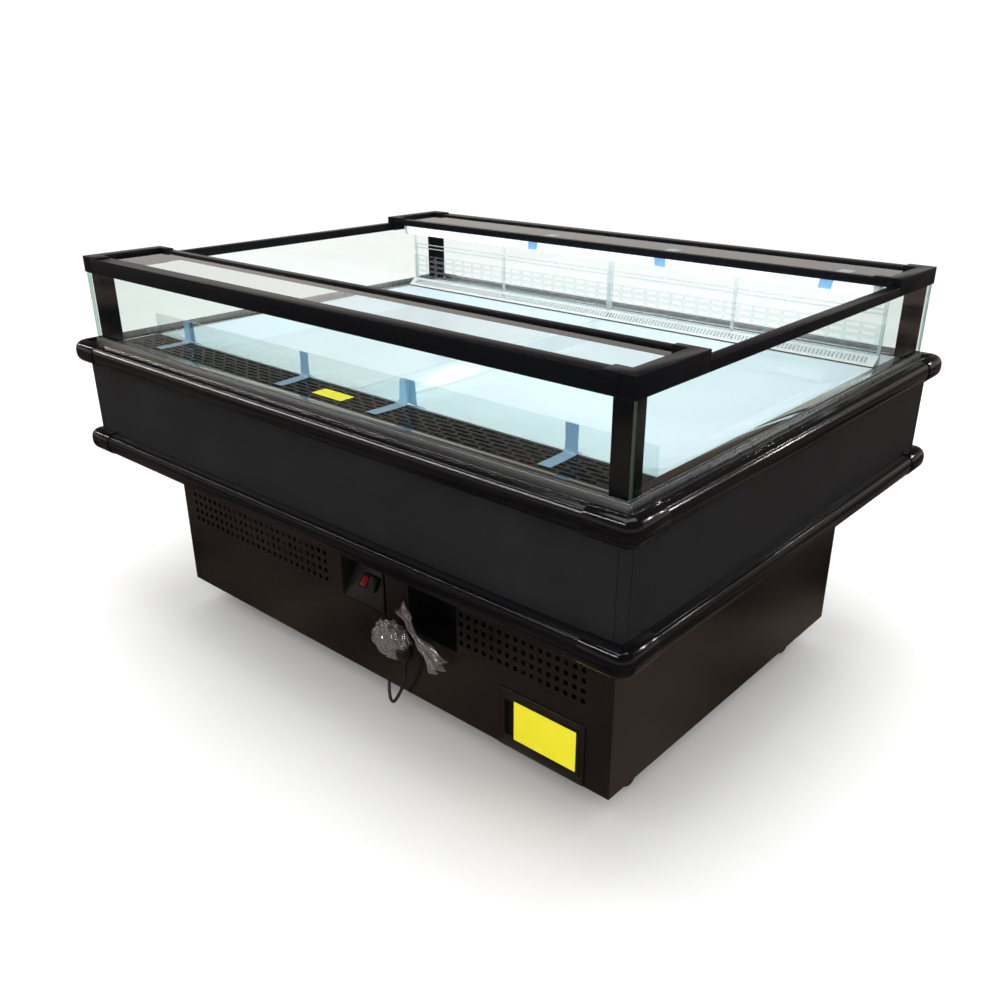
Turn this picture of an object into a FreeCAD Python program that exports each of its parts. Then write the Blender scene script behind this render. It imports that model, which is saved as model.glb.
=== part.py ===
"""Open-top island display freezer: base on castors, insulated tub, glass walls and two canopies.

Frame: millimetres, +Z up, origin on the floor under the middle of the cabinet. X runs along the
long side, and the side with the switch, cord and drain drawer faces -Y.
"""

import FreeCAD, Part
import Sketcher
import math
import os
import re

SIZES = {
    # glass frame and canopies
    "frame_length": 1477, "frame_width": 1107, "frame_top": 880, "canopy_depth": 192,
    "rail_wide": 34, "rail_tall": 32, "cap_step": 3, "cap_reach": 28, "end_wide": 30,
    "inner_wide": 18, "inner_tall": 16, "side_wide": 22, "side_tall": 19,
    "post_wide": 34, "glass_inset": 2, "glass_thick": 5, "channel_wide": 9, "channel_tall": 16,
    "channel_skin": 1.7, "canopy_glass_thick": 5, "canopy_glass_drop": 4, "ledge_wide": 6,
    "ledge_tall": 3, "lamp_wide": 26, "lamp_tall": 26,
    # tub
    "tub_step_x": 12, "tub_step_y": 16.5, "tub_length": "=frame_length + 2 * tub_step_x",
    "tub_width": "=frame_width + 2 * tub_step_y", "tub_bottom": 433, "tub_top": 681, "skin_thick": 2,
    "tub_corner_wide": 15, "rim_top": 689, "rim_thick": 8, "well_step": 40.5,
    "well_length": "=frame_length - 2 * well_step",
    "well_width": "=frame_width - 2 * well_step",
    "liner_thick": 2, "liner_floor": 478, "fit_gap": 0.3,
    "bumper_tall": 47, "bumper_out": 26, "bumper_round": 19, "cap_arm": 85, "cap_proud": 2,
    "cap_round": 24, "upper_bumper_top": 692,
    # display deck
    "grille_wide": 90, "grille_drop": 1, "sheet_thick": 2, "partition_thick": 5,
    "partition_tall": 48, "partition_below": 4, "pan_front_slope": 40, "pan_end_slope": 80,
    "pan_joint_slope": 20, "pan_drop": 38, "pan_flange": 8, "deck_step": 117,
    "deck_back": "=well_width / 2 - deck_step",
    "riser_step": 88, "riser_back": "=well_width / 2 - riser_step", "riser_thick": 4,
    "riser_tall": 84, "louvre_rise": 18, "louvre_thick": 1.5, "louvre_gap": 2, "rail_low_up": 104, "rail_high_up": 114, "upright_wide": 8,
    "rail_rod": 2.5, "grille_slot_long": 32, "grille_slot_wide": 7,
    "grille_slot_pitch": 40, "grille_row_pitch": 14, "riser_slot_long": 29,
    "riser_slot_wide": 8, "riser_slot_pitch": 36, "riser_row_pitch": 14.7,
    "louvre_slot_wide": 5, "louvre_slot_long": 15, "louvre_slot_pitch": 9,
    # base
    "base_step_x": 95.5, "base_step_y": 132, "base_length": "=tub_length - 2 * base_step_x",
    "base_width": "=tub_width - 2 * base_step_y", "base_floor": 60, "base_corner_wide": 23,
    "base_pan_level": 75, "pan_thick": 3, "pan_lip": 22, "vent_side": 10, "vent_row_pitch": 21,
    "left_vent_pitch": 20.7, "right_vent_pitch": 19.6, "vent_low": 243,
    "left_vent_start": -606, "right_vent_start": 296,
    "pocket_left": -55, "pocket_right": 72, "pocket_low": 223, "pocket_high": 330,
    "pocket_deep": 80, "slit_at": 77, "slit_wide": 6, "slit_low": 217,
    "recess_left": 151, "recess_right": 284, "recess_low": 217, "recess_high": 321,
    "recess_deep": 90, "bezel_wide": 48, "bezel_tall": 32, "bezel_deep": 22, "rocker_wide": 16,
    "drawer_left": 394, "drawer_right": 599, "drawer_low": 62, "drawer_high": 192,
    "drawer_rim": 10, "drawer_deep": 290, "drawer_wall": 2, "drawer_proud": 4,
    # castors
    "wheel_radius": 25, "wheel_wide": 22, "axle_radius": 4, "trail": 20, "castor_in_x": 43,
    "castor_in_y": 100, "fork_thick": 2.5, "castor_plate": 52, "running_gap": 0.6,
    # machinery
    "condenser_wide": 360, "condenser_tall": 230, "condenser_deep": 60, "condenser_at": -340,
    "fan_radius": 95, "fan_hub": 28, "fan_deep": 26, "compressor_radius": 78,
    "compressor_tall": 165, "box_wide": 150, "box_deep": 90, "box_tall": 150, "pipe_radius": 5,
    "liquid_line_off": 165, "liquid_line_up": 60,
    "evaporator_long": 1000, "evaporator_deep": 190, "evaporator_tall": 115,
    "small_fan_radius": 58, "small_fan_at": 270, "duct_hole": 24,
    # mains cord
    "cord_radius": 3.5, "coil_radius": 38.5, "coil_columns": 4, "coil_layers": 2,
    "plug_radius": 18, "plug_long": 40, "bag_radius": 25.5, "bag_spread": 1.7, "gland_radius": 9,
}

doc = FreeCAD.newDocument("IslandFreezer")
sheet = doc.addObject("Spreadsheet::Sheet", "Sizes")
for row, (alias, number) in enumerate(SIZES.items(), start=1):
    sheet.set("A%d" % row, alias)
    sheet.set("B%d" % row, str(number))
    sheet.setAlias("B%d" % row, alias)
doc.recompute()

NODES = []
UP = FreeCAD.Vector(0, 0, 1)
TURNS = {
    "x": FreeCAD.Rotation(UP, FreeCAD.Vector(1, 0, 0)),
    "y": FreeCAD.Rotation(UP, FreeCAD.Vector(0, 1, 0)),
    "z": FreeCAD.Rotation(),
}


def link(text):
    """Point every size named in an expression at its cell of the sheet."""
    return re.sub(r"[a-z][a-z_0-9]*", lambda m: "Sizes." + m[0] if m[0] in SIZES else m[0], text)


def number(text):
    """Work out an expression in the sheet's sizes."""
    return float(sheet.evalExpression(link(text)))


def at(thing, x, y, z):
    """Bind a thing's place to three expressions."""
    for axis, text in zip("xyz", (x, y, z)):
        thing.setExpression("Placement.Base." + axis, link(text))
    return thing


def block(name, x, y, z):
    """A box between (low, high) expressions on each axis."""
    box = doc.addObject("Part::Box", name)
    for side, (low, high) in zip(("Length", "Width", "Height"), (x, y, z)):
        box.setExpression(side, link("(%s) - (%s)" % (high, low)))
    return at(box, x[0], y[0], z[0])


def rod(name, axis, centre, radius, length):
    """A cylinder from its centre's low end along an axis."""
    cylinder = doc.addObject("Part::Cylinder", name)
    cylinder.Placement = FreeCAD.Placement(FreeCAD.Vector(), TURNS[axis])
    cylinder.setExpression("Radius", link(radius))
    cylinder.setExpression("Height", link(length))
    return at(cylinder, *centre)


def cut(name, base, *tools):
    """Take tools away from a base."""
    result = doc.addObject("Part::Cut", name)
    result.Base = base
    result.Tool = tools[0] if len(tools) == 1 else join(name + "Tools", *tools)
    return result


def join(name, *shapes):
    """Fuse shapes into one solid."""
    result = doc.addObject("Part::MultiFuse", name)
    result.Shapes = list(shapes)
    return result


def group(name, *members):
    """Keep separate solids together as one node."""
    result = doc.addObject("Part::Compound", name)
    result.Links = list(members)
    return result


def node(label, thing):
    """Name a finished sub-part."""
    thing.Label = label
    NODES.append(thing)
    return thing


def span(sign, inner, outer):
    """The (low, high) pair between two distances from the middle, on either side."""
    return (inner, outer) if sign > 0 else ("-(%s)" % outer, "-(%s)" % inner)


def both(half):
    """The (low, high) pair across the middle."""
    return ("-(%s)" % half, half)


def outline(body, name, role, points, offset="0"):
    """A closed sketch of straight lines on an origin plane, each corner bound to the sheet."""
    sketch = body.newObject("Sketcher::SketchObject", name)
    plane = [f for f in body.Origin.OriginFeatures if f.Role == role][0]
    sketch.AttachmentSupport = [(plane, "")]
    sketch.MapMode = "FlatFace"
    sketch.setExpression("AttachmentOffset.Base.z", link(offset))
    corners = [FreeCAD.Vector(number(x), number(y), 0) for x, y in points]
    count = len(corners)
    for i in range(count):
        sketch.addGeometry(Part.LineSegment(corners[i], corners[(i + 1) % count]), False)
    for i, (x, y) in enumerate(points):
        tie_corner(sketch, i, count, corners[i], x, y)
    return sketch


def tie_corner(sketch, i, count, corner, x, y):
    """Tie one corner of an outline to its neighbour and to two bound distances."""
    sketch.addConstraint(Sketcher.Constraint("Coincident", (i - 1) % count, 2, i, 1))
    for kind, text, value in (("DistanceX", x, corner.x), ("DistanceY", y, corner.y)):
        place = sketch.addConstraint(Sketcher.Constraint(kind, -1, 1, i, 1, value))
        label = "%s%d" % ("across" if kind == "DistanceX" else "along", i)
        sketch.renameConstraint(place, label)
        sketch.setExpression("Constraints." + label, link(text))


def new_body(name):
    return doc.addObject("PartDesign::Body", name)


def pad(body, sketch, length):
    """Push a sketch out to a bound length."""
    feature = body.newObject("PartDesign::Pad", sketch.Name + "Pad")
    feature.Profile = sketch
    feature.setExpression("Length", link(length))
    doc.recompute()
    return feature


def turned(name, points, role="XZ_Plane", axis="V_Axis"):
    """A body turned from an outline about one of its sketch's axes."""
    body = new_body(name)
    sketch = outline(body, name + "Profile", role, points)
    feature = body.newObject("PartDesign::Revolution", name + "Turn")
    feature.Profile = sketch
    feature.ReferenceAxis = (sketch, [axis])
    feature.Angle = 360
    doc.recompute()
    return body


def round_edges(body, name, radius, wanted):
    """Round the edges of a body's tip that a test on their middle and direction picks."""
    doc.recompute()
    tip = body.Tip
    picked = []
    for i, edge in enumerate(tip.Shape.Edges, start=1):
        if not isinstance(edge.Curve, (Part.Line, Part.LineSegment)):
            continue
        direction = edge.Vertexes[-1].Point - edge.Vertexes[0].Point
        if wanted(edge.CenterOfMass, direction.normalize()):
            picked.append("Edge%d" % i)
    feature = body.newObject("PartDesign::Fillet", name)
    feature.Base = (tip, picked)
    feature.setExpression("Radius", link(radius))
    doc.recompute()
    return feature


def solid_feature(name, shape):
    """A shape worked out in code, for the pieces no primitive fits."""
    feature = doc.addObject("Part::Feature", name)
    feature.Shape = shape
    return feature


def ring(x, y, wide, tall, corner):
    """A closed rectangle about a middle, with rounded corners where a radius is given."""
    left, right = x - wide / 2, x + wide / 2
    low, high = y - tall / 2, y + tall / 2
    if corner <= 0:
        spots = [(left, low), (right, low), (right, high), (left, high), (left, low)]
        return Part.makePolygon([FreeCAD.Vector(u, v, 0) for u, v in spots])
    edges = []
    corners = ((right, low, -90), (right, high, 0), (left, high, 90), (left, low, 180))
    last = None
    first = None
    for u, v, begin in corners:
        middle = FreeCAD.Vector(u - math.copysign(corner, u - x), v - math.copysign(corner, v - y), 0)
        spots = []
        for angle in (begin, begin + 45, begin + 90):
            turn = math.radians(angle)
            spots.append(middle + FreeCAD.Vector(math.cos(turn), math.sin(turn), 0) * corner)
        if last is None:
            first = spots[0]
        elif (spots[0] - last).Length > 1e-6:
            edges.append(Part.LineSegment(last, spots[0]).toShape())
        edges.append(Part.Arc(*spots).toShape())
        last = spots[2]
    if (first - last).Length > 1e-6:
        edges.append(Part.LineSegment(last, first).toShape())
    return Part.Wire(edges)


def slots_at(columns, rows, pitch, row_pitch, size, start, stagger=0.0):
    """Middles and sizes of slots in rows and columns, every other row moved along by stagger."""
    wide, tall, corner = size
    return [(start[0] + column * pitch + (row % 2) * stagger, start[1] + row * row_pitch,
             wide, tall, corner) for row in range(rows) for column in range(columns)]


def perforated(name, across, up, holes, thick, corner, turn=None):
    """A sheet with holes: an outline face set in place, pushed out by a bound thickness.

    across and up are the sheet's (low, high) pairs, corner is where its own zero sits, and turn
    stands it up. Holes are (x, y, wide, tall, corner radius).
    """
    low_x, high_x = number(across[0]), number(across[1])
    low_y, high_y = number(up[0]), number(up[1])
    edge = ring((low_x + high_x) / 2, (low_y + high_y) / 2, high_x - low_x, high_y - low_y, 0)
    face = Part.makeFace([edge] + [ring(*hole) for hole in holes], "Part::FaceMakerBullseye")
    flat = solid_feature(name + "Face", face)
    turn = turn or FreeCAD.Rotation()
    flat.Placement = FreeCAD.Placement(corner, turn)
    push = doc.addObject("Part::Extrusion", name)
    push.Base = flat
    push.DirMode = "Custom"
    push.Dir = turn.multVec(UP)
    push.Solid = True
    push.setExpression("LengthFwd", link(thick))
    return push


STAND = FreeCAD.Rotation(FreeCAD.Vector(1, 0, 0), 90)
HALF_X = "frame_length / 2"
HALF_Y = "frame_width / 2"
TUB_X = "tub_length / 2"
TUB_Y = "tub_width / 2"
WELL_X = "well_length / 2"
WELL_Y = "well_width / 2"
BASE_X = "base_length / 2"
BASE_Y = "base_width / 2"
POST_X = HALF_X + " - channel_wide - fit_gap"
POST_Y = HALF_Y + " - channel_wide - fit_gap"
RAIL_TOP = "frame_top - cap_step"
RAIL_LOW = "frame_top - cap_step - rail_tall"
FRONT = -1
BACK = 1
SIDES = ((FRONT, "Front"), (BACK, "Back"))
ENDS = ((-1, "Left"), (1, "Right"))


# ---- base: panels, corner profiles and pan ----------------------------------------------------


def corner_profiles(name, label, half_x, half_y, wide, low, high):
    """Four upright angle profiles that close the corners of a boxed cabinet."""
    profiles = []
    for sy, side in SIDES:
        for sx, end in ENDS:
            tag = name + side + end
            outer = block(
                tag + "Outer",
                span(sx, "%s - %s" % (half_x, wide), half_x),
                span(sy, "%s - %s" % (half_y, wide), half_y),
                (low, high),
            )
            inner = block(
                tag + "Inner",
                span(sx, "%s - %s - 1" % (half_x, wide), "%s - skin_thick" % half_x),
                span(sy, "%s - %s - 1" % (half_y, wide), "%s - skin_thick" % half_y),
                ("%s - 1" % low, "%s + 1" % high),
            )
            profiles.append(cut(tag, outer, inner))
    return node(label, group(name, *profiles))


def base_panels():
    high = "tub_bottom - fit_gap"
    low = "base_floor"
    inside_x = "%s - base_corner_wide - fit_gap" % BASE_X
    inside_y = "%s - base_corner_wide - fit_gap" % BASE_Y
    side = number("vent_side")
    size = (side, side, side / 5)
    row = number("vent_row_pitch")
    vent_low = number("vent_low")
    holes = slots_at(25, 4, number("left_vent_pitch"), row, size, (number("left_vent_start"), vent_low))
    holes += slots_at(16, 4, number("right_vent_pitch"), row, size,
                      (number("right_vent_start"), vent_low))
    for left, right, bottom, top in (
        ("pocket_left", "pocket_right", "pocket_low", "pocket_high"),
        ("recess_left", "recess_right", "recess_low", "recess_high"),
        ("slit_at", "slit_at + slit_wide", "slit_low", "pocket_high"),
        ("drawer_left + 4", "drawer_right - 4", "drawer_low + 4", "drawer_high - 4"),
    ):
        left, right, bottom, top = number(left), number(right), number(bottom), number(top)
        holes.append(((left + right) / 2, (bottom + top) / 2, right - left, top - bottom, 0))
    skin = number("skin_thick")
    front = perforated("FrontPanel", both(inside_x), (low, high), holes, "skin_thick",
                       FreeCAD.Vector(0, skin - number(BASE_Y), 0), STAND)
    node("base_front_panel", front)
    field = number("left_vent_pitch") * 24
    holes = []
    for middle in (-340, 340):
        holes += slots_at(25, 4, number("left_vent_pitch"), row, size, (middle - field / 2, vent_low))
    back = perforated("BackPanel", both(inside_x), (low, high), holes, "skin_thick",
                      FreeCAD.Vector(0, number(BASE_Y), 0), STAND)
    node("base_back_panel", back)
    ends = [block("EndSheet" + end, span(sx, BASE_X + " - skin_thick", BASE_X), both(inside_y),
                  (low, high)) for sx, end in ENDS]
    node("base_end_panels", group("EndSheets", *ends))
    corner_profiles("BaseCorner", "base_corner_profiles", BASE_X, BASE_Y, "base_corner_wide",
                    low, high)


def base_pan():
    """Folded tray that carries the machinery, with a notch where the cord leaves."""
    inside_x = "%s - skin_thick - 2 * fit_gap" % BASE_X
    inside_y = "%s - skin_thick - 2 * fit_gap" % BASE_Y
    level = "base_pan_level"
    tray = block("TrayOuter", both(inside_x), both(inside_y), (level, level + " + pan_lip"))
    hollow = block("TrayInner", both(inside_x + " - pan_thick"), both(inside_y + " - pan_thick"),
                   (level + " + pan_thick", level + " + pan_lip + 1"))
    notch = block("CordNotch", ("34", "112"),
                  span(FRONT, BASE_Y + " - 34", BASE_Y), (level + " - 1", level + " + pan_lip + 1"))
    drawer_way = block("DrawerWay", ("drawer_left - 2", "drawer_right + 2"),
                       span(FRONT, BASE_Y + " - 17", BASE_Y),
                       (level + " - 1", level + " + pan_lip + 1"))
    node("base_pan", cut("BasePan", tray, hollow, notch, drawer_way))


def switch_pocket():
    """Recess with a sloping floor, flush at the bottom and deep at the top."""
    front = "-(%s) + skin_thick + fit_gap" % BASE_Y
    body = new_body("PocketBody")
    deep = "%s + pocket_deep" % front
    points = [
        (front, "pocket_low - skin_thick"),
        ("%s + 4" % front, "pocket_low - skin_thick"),
        ("%s + 4" % deep, "pocket_high"),
        ("%s + 4" % deep, "pocket_high + skin_thick"),
        (front, "pocket_high + skin_thick"),
        (front, "pocket_high"),
        (deep, "pocket_high"),
        (front, "pocket_low"),
    ]
    floor = outline(body, "PocketFold", "YZ_Plane", points, offset="pocket_left")
    pad(body, floor, "pocket_right - pocket_left")
    cheeks = []
    for name, low, high in (
        ("PocketLeft", "pocket_left - skin_thick", "pocket_left"),
        ("PocketRight", "pocket_right", "pocket_right + skin_thick"),
    ):
        cheek = new_body(name)
        side = outline(cheek, name + "Side", "YZ_Plane", [
            (front, "pocket_low - skin_thick"),
            ("%s + 4" % front, "pocket_low - skin_thick"),
            ("%s + 4" % deep, "pocket_high"),
            ("%s + 4" % deep, "pocket_high + skin_thick"),
            (front, "pocket_high + skin_thick"),
        ], offset=low)
        pad(cheek, side, "%s - (%s)" % (high, low))
        cheeks.append(cheek)
    node("switch_pocket", join("SwitchPocket", body, *cheeks))


def slope():
    """The pocket floor's middle and its turn: Z along the floor's outward normal."""
    front = -number(BASE_Y) + number("skin_thick + fit_gap")
    rise = number("pocket_high - pocket_low")
    deep = number("pocket_deep")
    lean = math.degrees(math.atan2(deep, rise))
    share = 0.34
    middle = FreeCAD.Vector(0, front + deep * share, number("pocket_low") + rise * share)
    return middle, FreeCAD.Rotation(FreeCAD.Vector(1, 0, 0), 90 - lean)


def rocker_switch():
    """Bezel on the pocket's floor and the rocker that tips in it about an axis along X."""
    middle, turn = slope()
    frame = FreeCAD.Placement(middle, turn)

    def local(name, x, y, z):
        thing = block(name, x, y, z)
        thing.Placement = FreeCAD.Placement()
        for axis in "xyz":
            thing.setExpression("Placement.Base." + axis, None)
        low = FreeCAD.Vector(number(x[0]), number(y[0]), number(z[0]))
        thing.Placement = FreeCAD.Placement(frame.multVec(low), turn)
        return thing

    bezel = local("Bezel", both("bezel_wide / 2"), both("bezel_tall / 2"), ("0.2", "6"))
    well = local("BezelWell", ("-bezel_wide / 2 + 5", "-bezel_wide / 2 + 5 + rocker_wide + 1"),
                 both("bezel_tall / 2 - 3"), ("1.2", "7"))
    node("switch_body", cut("SwitchBody", bezel, well))
    wide = number("rocker_wide")
    tall = number("bezel_tall") - 7.4
    left = number("-bezel_wide / 2 + 5.5")
    thick = 4.6
    level = 6.2
    pill = Part.makeBox(wide, tall, thick, FreeCAD.Vector(left, -tall / 2, level - thick / 2))
    ends = [e for e in pill.Edges if abs(abs(e.tangentAt(0).x) - 1) < 1e-6]
    pill = pill.makeFillet(2.0, ends)
    rocker = solid_feature("Rocker", pill)
    rocker.Placement = frame
    node("switch_rocker", rocker)


def cord_recess():
    """Open-fronted box behind the panel where the lead is parked."""
    front = BASE_Y + " - skin_thick - fit_gap"
    back = BASE_Y + " - recess_deep"
    outer = block("RecessOuter", ("recess_left - skin_thick", "recess_right + skin_thick"),
                  span(FRONT, back, front), ("recess_low - skin_thick", "recess_high + skin_thick"))
    inner = block("RecessInner", ("recess_left", "recess_right"),
                  span(FRONT, back + " + skin_thick", BASE_Y), ("recess_low", "recess_high"))
    node("cord_recess", cut("CordRecess", outer, inner))


def drain_drawer():
    """Stepped frame on the panel, and the drawer with its finger pull and water tray."""
    face = BASE_Y + " + drawer_proud"
    outer = block("DrawerFrameOuter", ("drawer_left", "drawer_right"), span(FRONT, BASE_Y, face),
                  ("drawer_low", "drawer_high"))
    step = block("DrawerFrameStep", ("drawer_left + 4", "drawer_right - 4"),
                 span(FRONT, BASE_Y + " + 2", face + " + 1"), ("drawer_low + 4", "drawer_high - 4"))
    hole = block("DrawerFrameHole",
                 ("drawer_left + drawer_rim", "drawer_right - drawer_rim"),
                 span(FRONT, BASE_Y + " - 1", face + " + 1"),
                 ("drawer_low + drawer_rim", "drawer_high - drawer_rim"))
    node("drawer_frame", cut("DrawerFrame", outer, step, hole))
    left = "drawer_left + drawer_rim + running_gap"
    right = "drawer_right - drawer_rim - running_gap"
    low = "drawer_low + drawer_rim + running_gap"
    high = "drawer_high - drawer_rim - running_gap"
    panel = block("DrawerFront", (left, right), span(FRONT, BASE_Y + " - 14", BASE_Y + " + 2"),
                  (low, high))
    pull = block("FingerPull", ("%s + 4" % left, "%s + 26" % left),
                 span(FRONT, BASE_Y + " - 10", BASE_Y + " + 3"), ("%s + 14" % low, "%s - 14" % high))
    tray_low = "base_pan_level + pan_thick + 1"
    tray_high = "drawer_high - drawer_rim - 32"
    tray = block("TrayShell", ("%s + 2" % left, "%s - 2" % right),
                 span(FRONT, BASE_Y + " - drawer_deep", BASE_Y + " - 13.9"), (tray_low, tray_high))
    water = block("TrayHollow", ("%s + 2 + drawer_wall" % left, "%s - 2 - drawer_wall" % right),
                  span(FRONT, BASE_Y + " - drawer_deep + drawer_wall", BASE_Y + " - 14"),
                  ("%s + drawer_wall" % tray_low, "%s + 1" % tray_high))
    drawer = join("Drawer", cut("DrawerPanel", panel, pull), cut("DrawerTray", tray, water))
    node("drain_drawer", drawer)


# ---- castors ----------------------------------------------------------------------------------


def castors():
    plates = []
    top = "base_pan_level"
    for sy, side in SIDES:
        for sx, end in ENDS:
            tag = "Castor" + side + end
            x = "%d * (%s - castor_in_x)" % (sx, BASE_X)
            y = "%d * (%s - castor_in_y)" % (sy, BASE_Y)
            axle_y = "%s - %d * trail" % (y, sy)
            plate = block(tag + "Plate", ("%s - castor_plate / 2" % x, "%s + castor_plate / 2" % x),
                          ("%s - castor_plate / 2" % y, "%s + castor_plate / 2" % y),
                          (top + " - 3", top))
            bolt = rod(tag + "Bolt", "z", (x, y, top + " - 8"), "4", "6")
            plates.append(join(tag + "Mount", plate, bolt))
            half = "wheel_wide / 2"
            head = rod(tag + "Head", "z", (x, y, top + " - 19"), "17", "15")
            bore = rod(tag + "Bore", "z", (x, y, top + " - 9"), "4 + running_gap", "6")
            crown = block(tag + "Crown",
                          ("%s - %s - running_gap - fork_thick" % (x, half),
                           "%s + %s + running_gap + fork_thick" % (x, half)),
                          span(sy, "%s - castor_in_y - trail - 8" % BASE_Y,
                               "%s - castor_in_y + 14" % BASE_Y),
                          ("2 * wheel_radius + 4", "2 * wheel_radius + 4 + fork_thick"))
            legs = []
            for leg, (near, far) in enumerate((
                ("%s - %s - running_gap - fork_thick", "%s - %s - running_gap"),
                ("%s + %s + running_gap", "%s + %s + running_gap + fork_thick"),
            )):
                legs.append(block("%sLeg%d" % (tag, leg), (near % (x, half), far % (x, half)),
                                  ("%s - 9" % axle_y, "%s + 9" % axle_y),
                                  ("wheel_radius - 8", "2 * wheel_radius + 5")))
            axle = rod(tag + "Axle", "x",
                       ("%s - %s - running_gap - fork_thick" % (x, half), axle_y, "wheel_radius"),
                       "axle_radius", "wheel_wide + 2 * running_gap + 2 * fork_thick")
            fork = cut(tag + "Fork", join(tag + "ForkAll", head, crown, axle, *legs), bore)
            node("castor_fork_%s_%s" % (side.lower(), end.lower()), fork)
            node("castor_wheel_%s_%s" % (side.lower(), end.lower()), wheel(tag, x, axle_y))
    node("castor_plates", group("CastorPlates", *plates))


def wheel(tag, x, y):
    """Wheel turned about the X axis, with a hollowed face each side and a bore."""
    half = "wheel_wide / 2"
    points = [
        ("-(%s)" % half, "axle_radius + 0.05"),
        (half, "axle_radius + 0.05"),
        (half, "9"),
        ("%s - 3" % half, "10"),
        ("%s - 3" % half, "wheel_radius - 7"),
        (half, "wheel_radius - 6"),
        (half, "wheel_radius - 1.5"),
        ("%s - 1.5" % half, "wheel_radius"),
        ("-(%s) + 1.5" % half, "wheel_radius"),
        ("-(%s)" % half, "wheel_radius - 1.5"),
        ("-(%s)" % half, "wheel_radius - 6"),
        ("-(%s) + 3" % half, "wheel_radius - 7"),
        ("-(%s) + 3" % half, "10"),
        ("-(%s)" % half, "9"),
    ]
    body = turned(tag + "Wheel", points, role="XY_Plane", axis="H_Axis")
    return at(body, x, y, "wheel_radius")


# ---- machinery in the base --------------------------------------------------------------------


def fan(name, label, centre, radius, hub, deep, blades):
    """A hub with pitched blades that turns about Y."""
    middle = FreeCAD.Vector(*[number(text) for text in centre])
    reach = number(radius)
    core = number(hub)
    thick = number(deep)
    parts = Part.makeCylinder(core, thick, FreeCAD.Vector(0, -thick / 2, 0), FreeCAD.Vector(0, 1, 0))
    for i in range(blades):
        blade = Part.makeBox(reach - core * 0.6, 2, core * 1.5,
                             FreeCAD.Vector(core * 0.6, -1, -core * 0.75))
        blade.rotate(FreeCAD.Vector(), FreeCAD.Vector(1, 0, 0), 28)
        blade.rotate(FreeCAD.Vector(), FreeCAD.Vector(0, 1, 0), 360.0 * i / blades)
        parts = parts.fuse(blade)
    limit = Part.makeCylinder(reach, thick, FreeCAD.Vector(0, -thick / 2, 0), FreeCAD.Vector(0, 1, 0))
    feature = solid_feature(name, parts.common(limit))
    feature.Placement = FreeCAD.Placement(middle, FreeCAD.Rotation())
    return node(label, feature)


def machinery():
    low = "base_pan_level + pan_thick"
    x = "condenser_at"
    half = "condenser_wide / 2"
    coil_back = "%s - 16 - condenser_deep" % BASE_Y
    core = block("CondenserCore", ("%s - %s" % (x, half), "%s + %s" % (x, half)),
                 span(FRONT, coil_back, BASE_Y + " - 16"), (low + " + 24", low + " + 24 + condenser_tall"))
    feet = [block("CondenserFoot%d" % i, ("%s + %d - 12" % (x, dx), "%s + %d + 12" % (x, dx)),
                  span(FRONT, coil_back, BASE_Y + " - 16"), (low, low + " + 24"))
            for i, dx in enumerate((-140, 140))]
    node("condenser_coil", join("Condenser", core, *feet))
    centre_z = low + " + 24 + condenser_tall / 2"
    shroud_front = coil_back + " - fit_gap"
    shroud_back = coil_back + " - 46"
    plate = block("ShroudPlate", ("%s - %s" % (x, half), "%s + %s" % (x, half)),
                  span(FRONT, shroud_back, shroud_front), (low + " + 24", low + " + 24 + condenser_tall"))
    mouth = rod("ShroudMouth", "y", (x, "-(%s) - 1" % shroud_front, centre_z), "fan_radius + 6", "60")
    bar = block("MotorBar", ("%s - 8" % x, "%s + 8" % x),
                span(FRONT, shroud_back + " - 4", shroud_back),
                (low + " + 24", low + " + 24 + condenser_tall"))
    motor = rod("FanMotor", "y", (x, "-(%s) + 4" % shroud_back, centre_z), "32", "48")
    line_hole = rod("LiquidLineHole", "y",
                    ("%s + liquid_line_off" % x, "-(%s) - 1" % shroud_front, low + " + liquid_line_up"),
                    "pipe_radius * 0.8 + 2", "60")
    node("condenser_shroud", join("Shroud", cut("ShroudRing", plate, mouth, line_hole), bar, motor))
    fan("CondenserFan", "condenser_fan",
        (x, "-(%s) + 6 + fan_deep / 2" % shroud_front, centre_z), "fan_radius", "fan_hub", "fan_deep", 5)
    pot = turned("CompressorPot", [
        ("0", "0"), ("compressor_radius * 0.7", "0"), ("compressor_radius", "22"),
        ("compressor_radius", "compressor_tall / 2 - 3"),
        ("compressor_radius + 4", "compressor_tall / 2 - 3"),
        ("compressor_radius + 4", "compressor_tall / 2 + 3"),
        ("compressor_radius", "compressor_tall / 2 + 3"),
        ("compressor_radius", "compressor_tall - 30"), ("compressor_radius * 0.55", "compressor_tall"),
        ("0", "compressor_tall"),
    ])
    at(pot, x, "40", low + " + 16")
    foot = block("CompressorFoot", ("%s - 95" % x, "%s + 95" % x), ("-50", "130"),
                 (low + " + 12", low + " + 16"))
    pads = [rod("Grommet%d%d" % (i, j), "z", ("%s + %d" % (x, dx), "40 + %d" % dy, low), "11", "12")
            for i, dx in enumerate((-80, 80)) for j, dy in enumerate((-74, 74))]
    node("compressor", join("Compressor", pot, foot, *pads))
    box_back = "%s - 100 - box_deep" % BASE_Y
    node("control_box", block("ControlBox", ("140", "140 + box_wide"),
                              span(FRONT, box_back, BASE_Y + " - 110"), (low, low + " + box_tall")))


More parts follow.
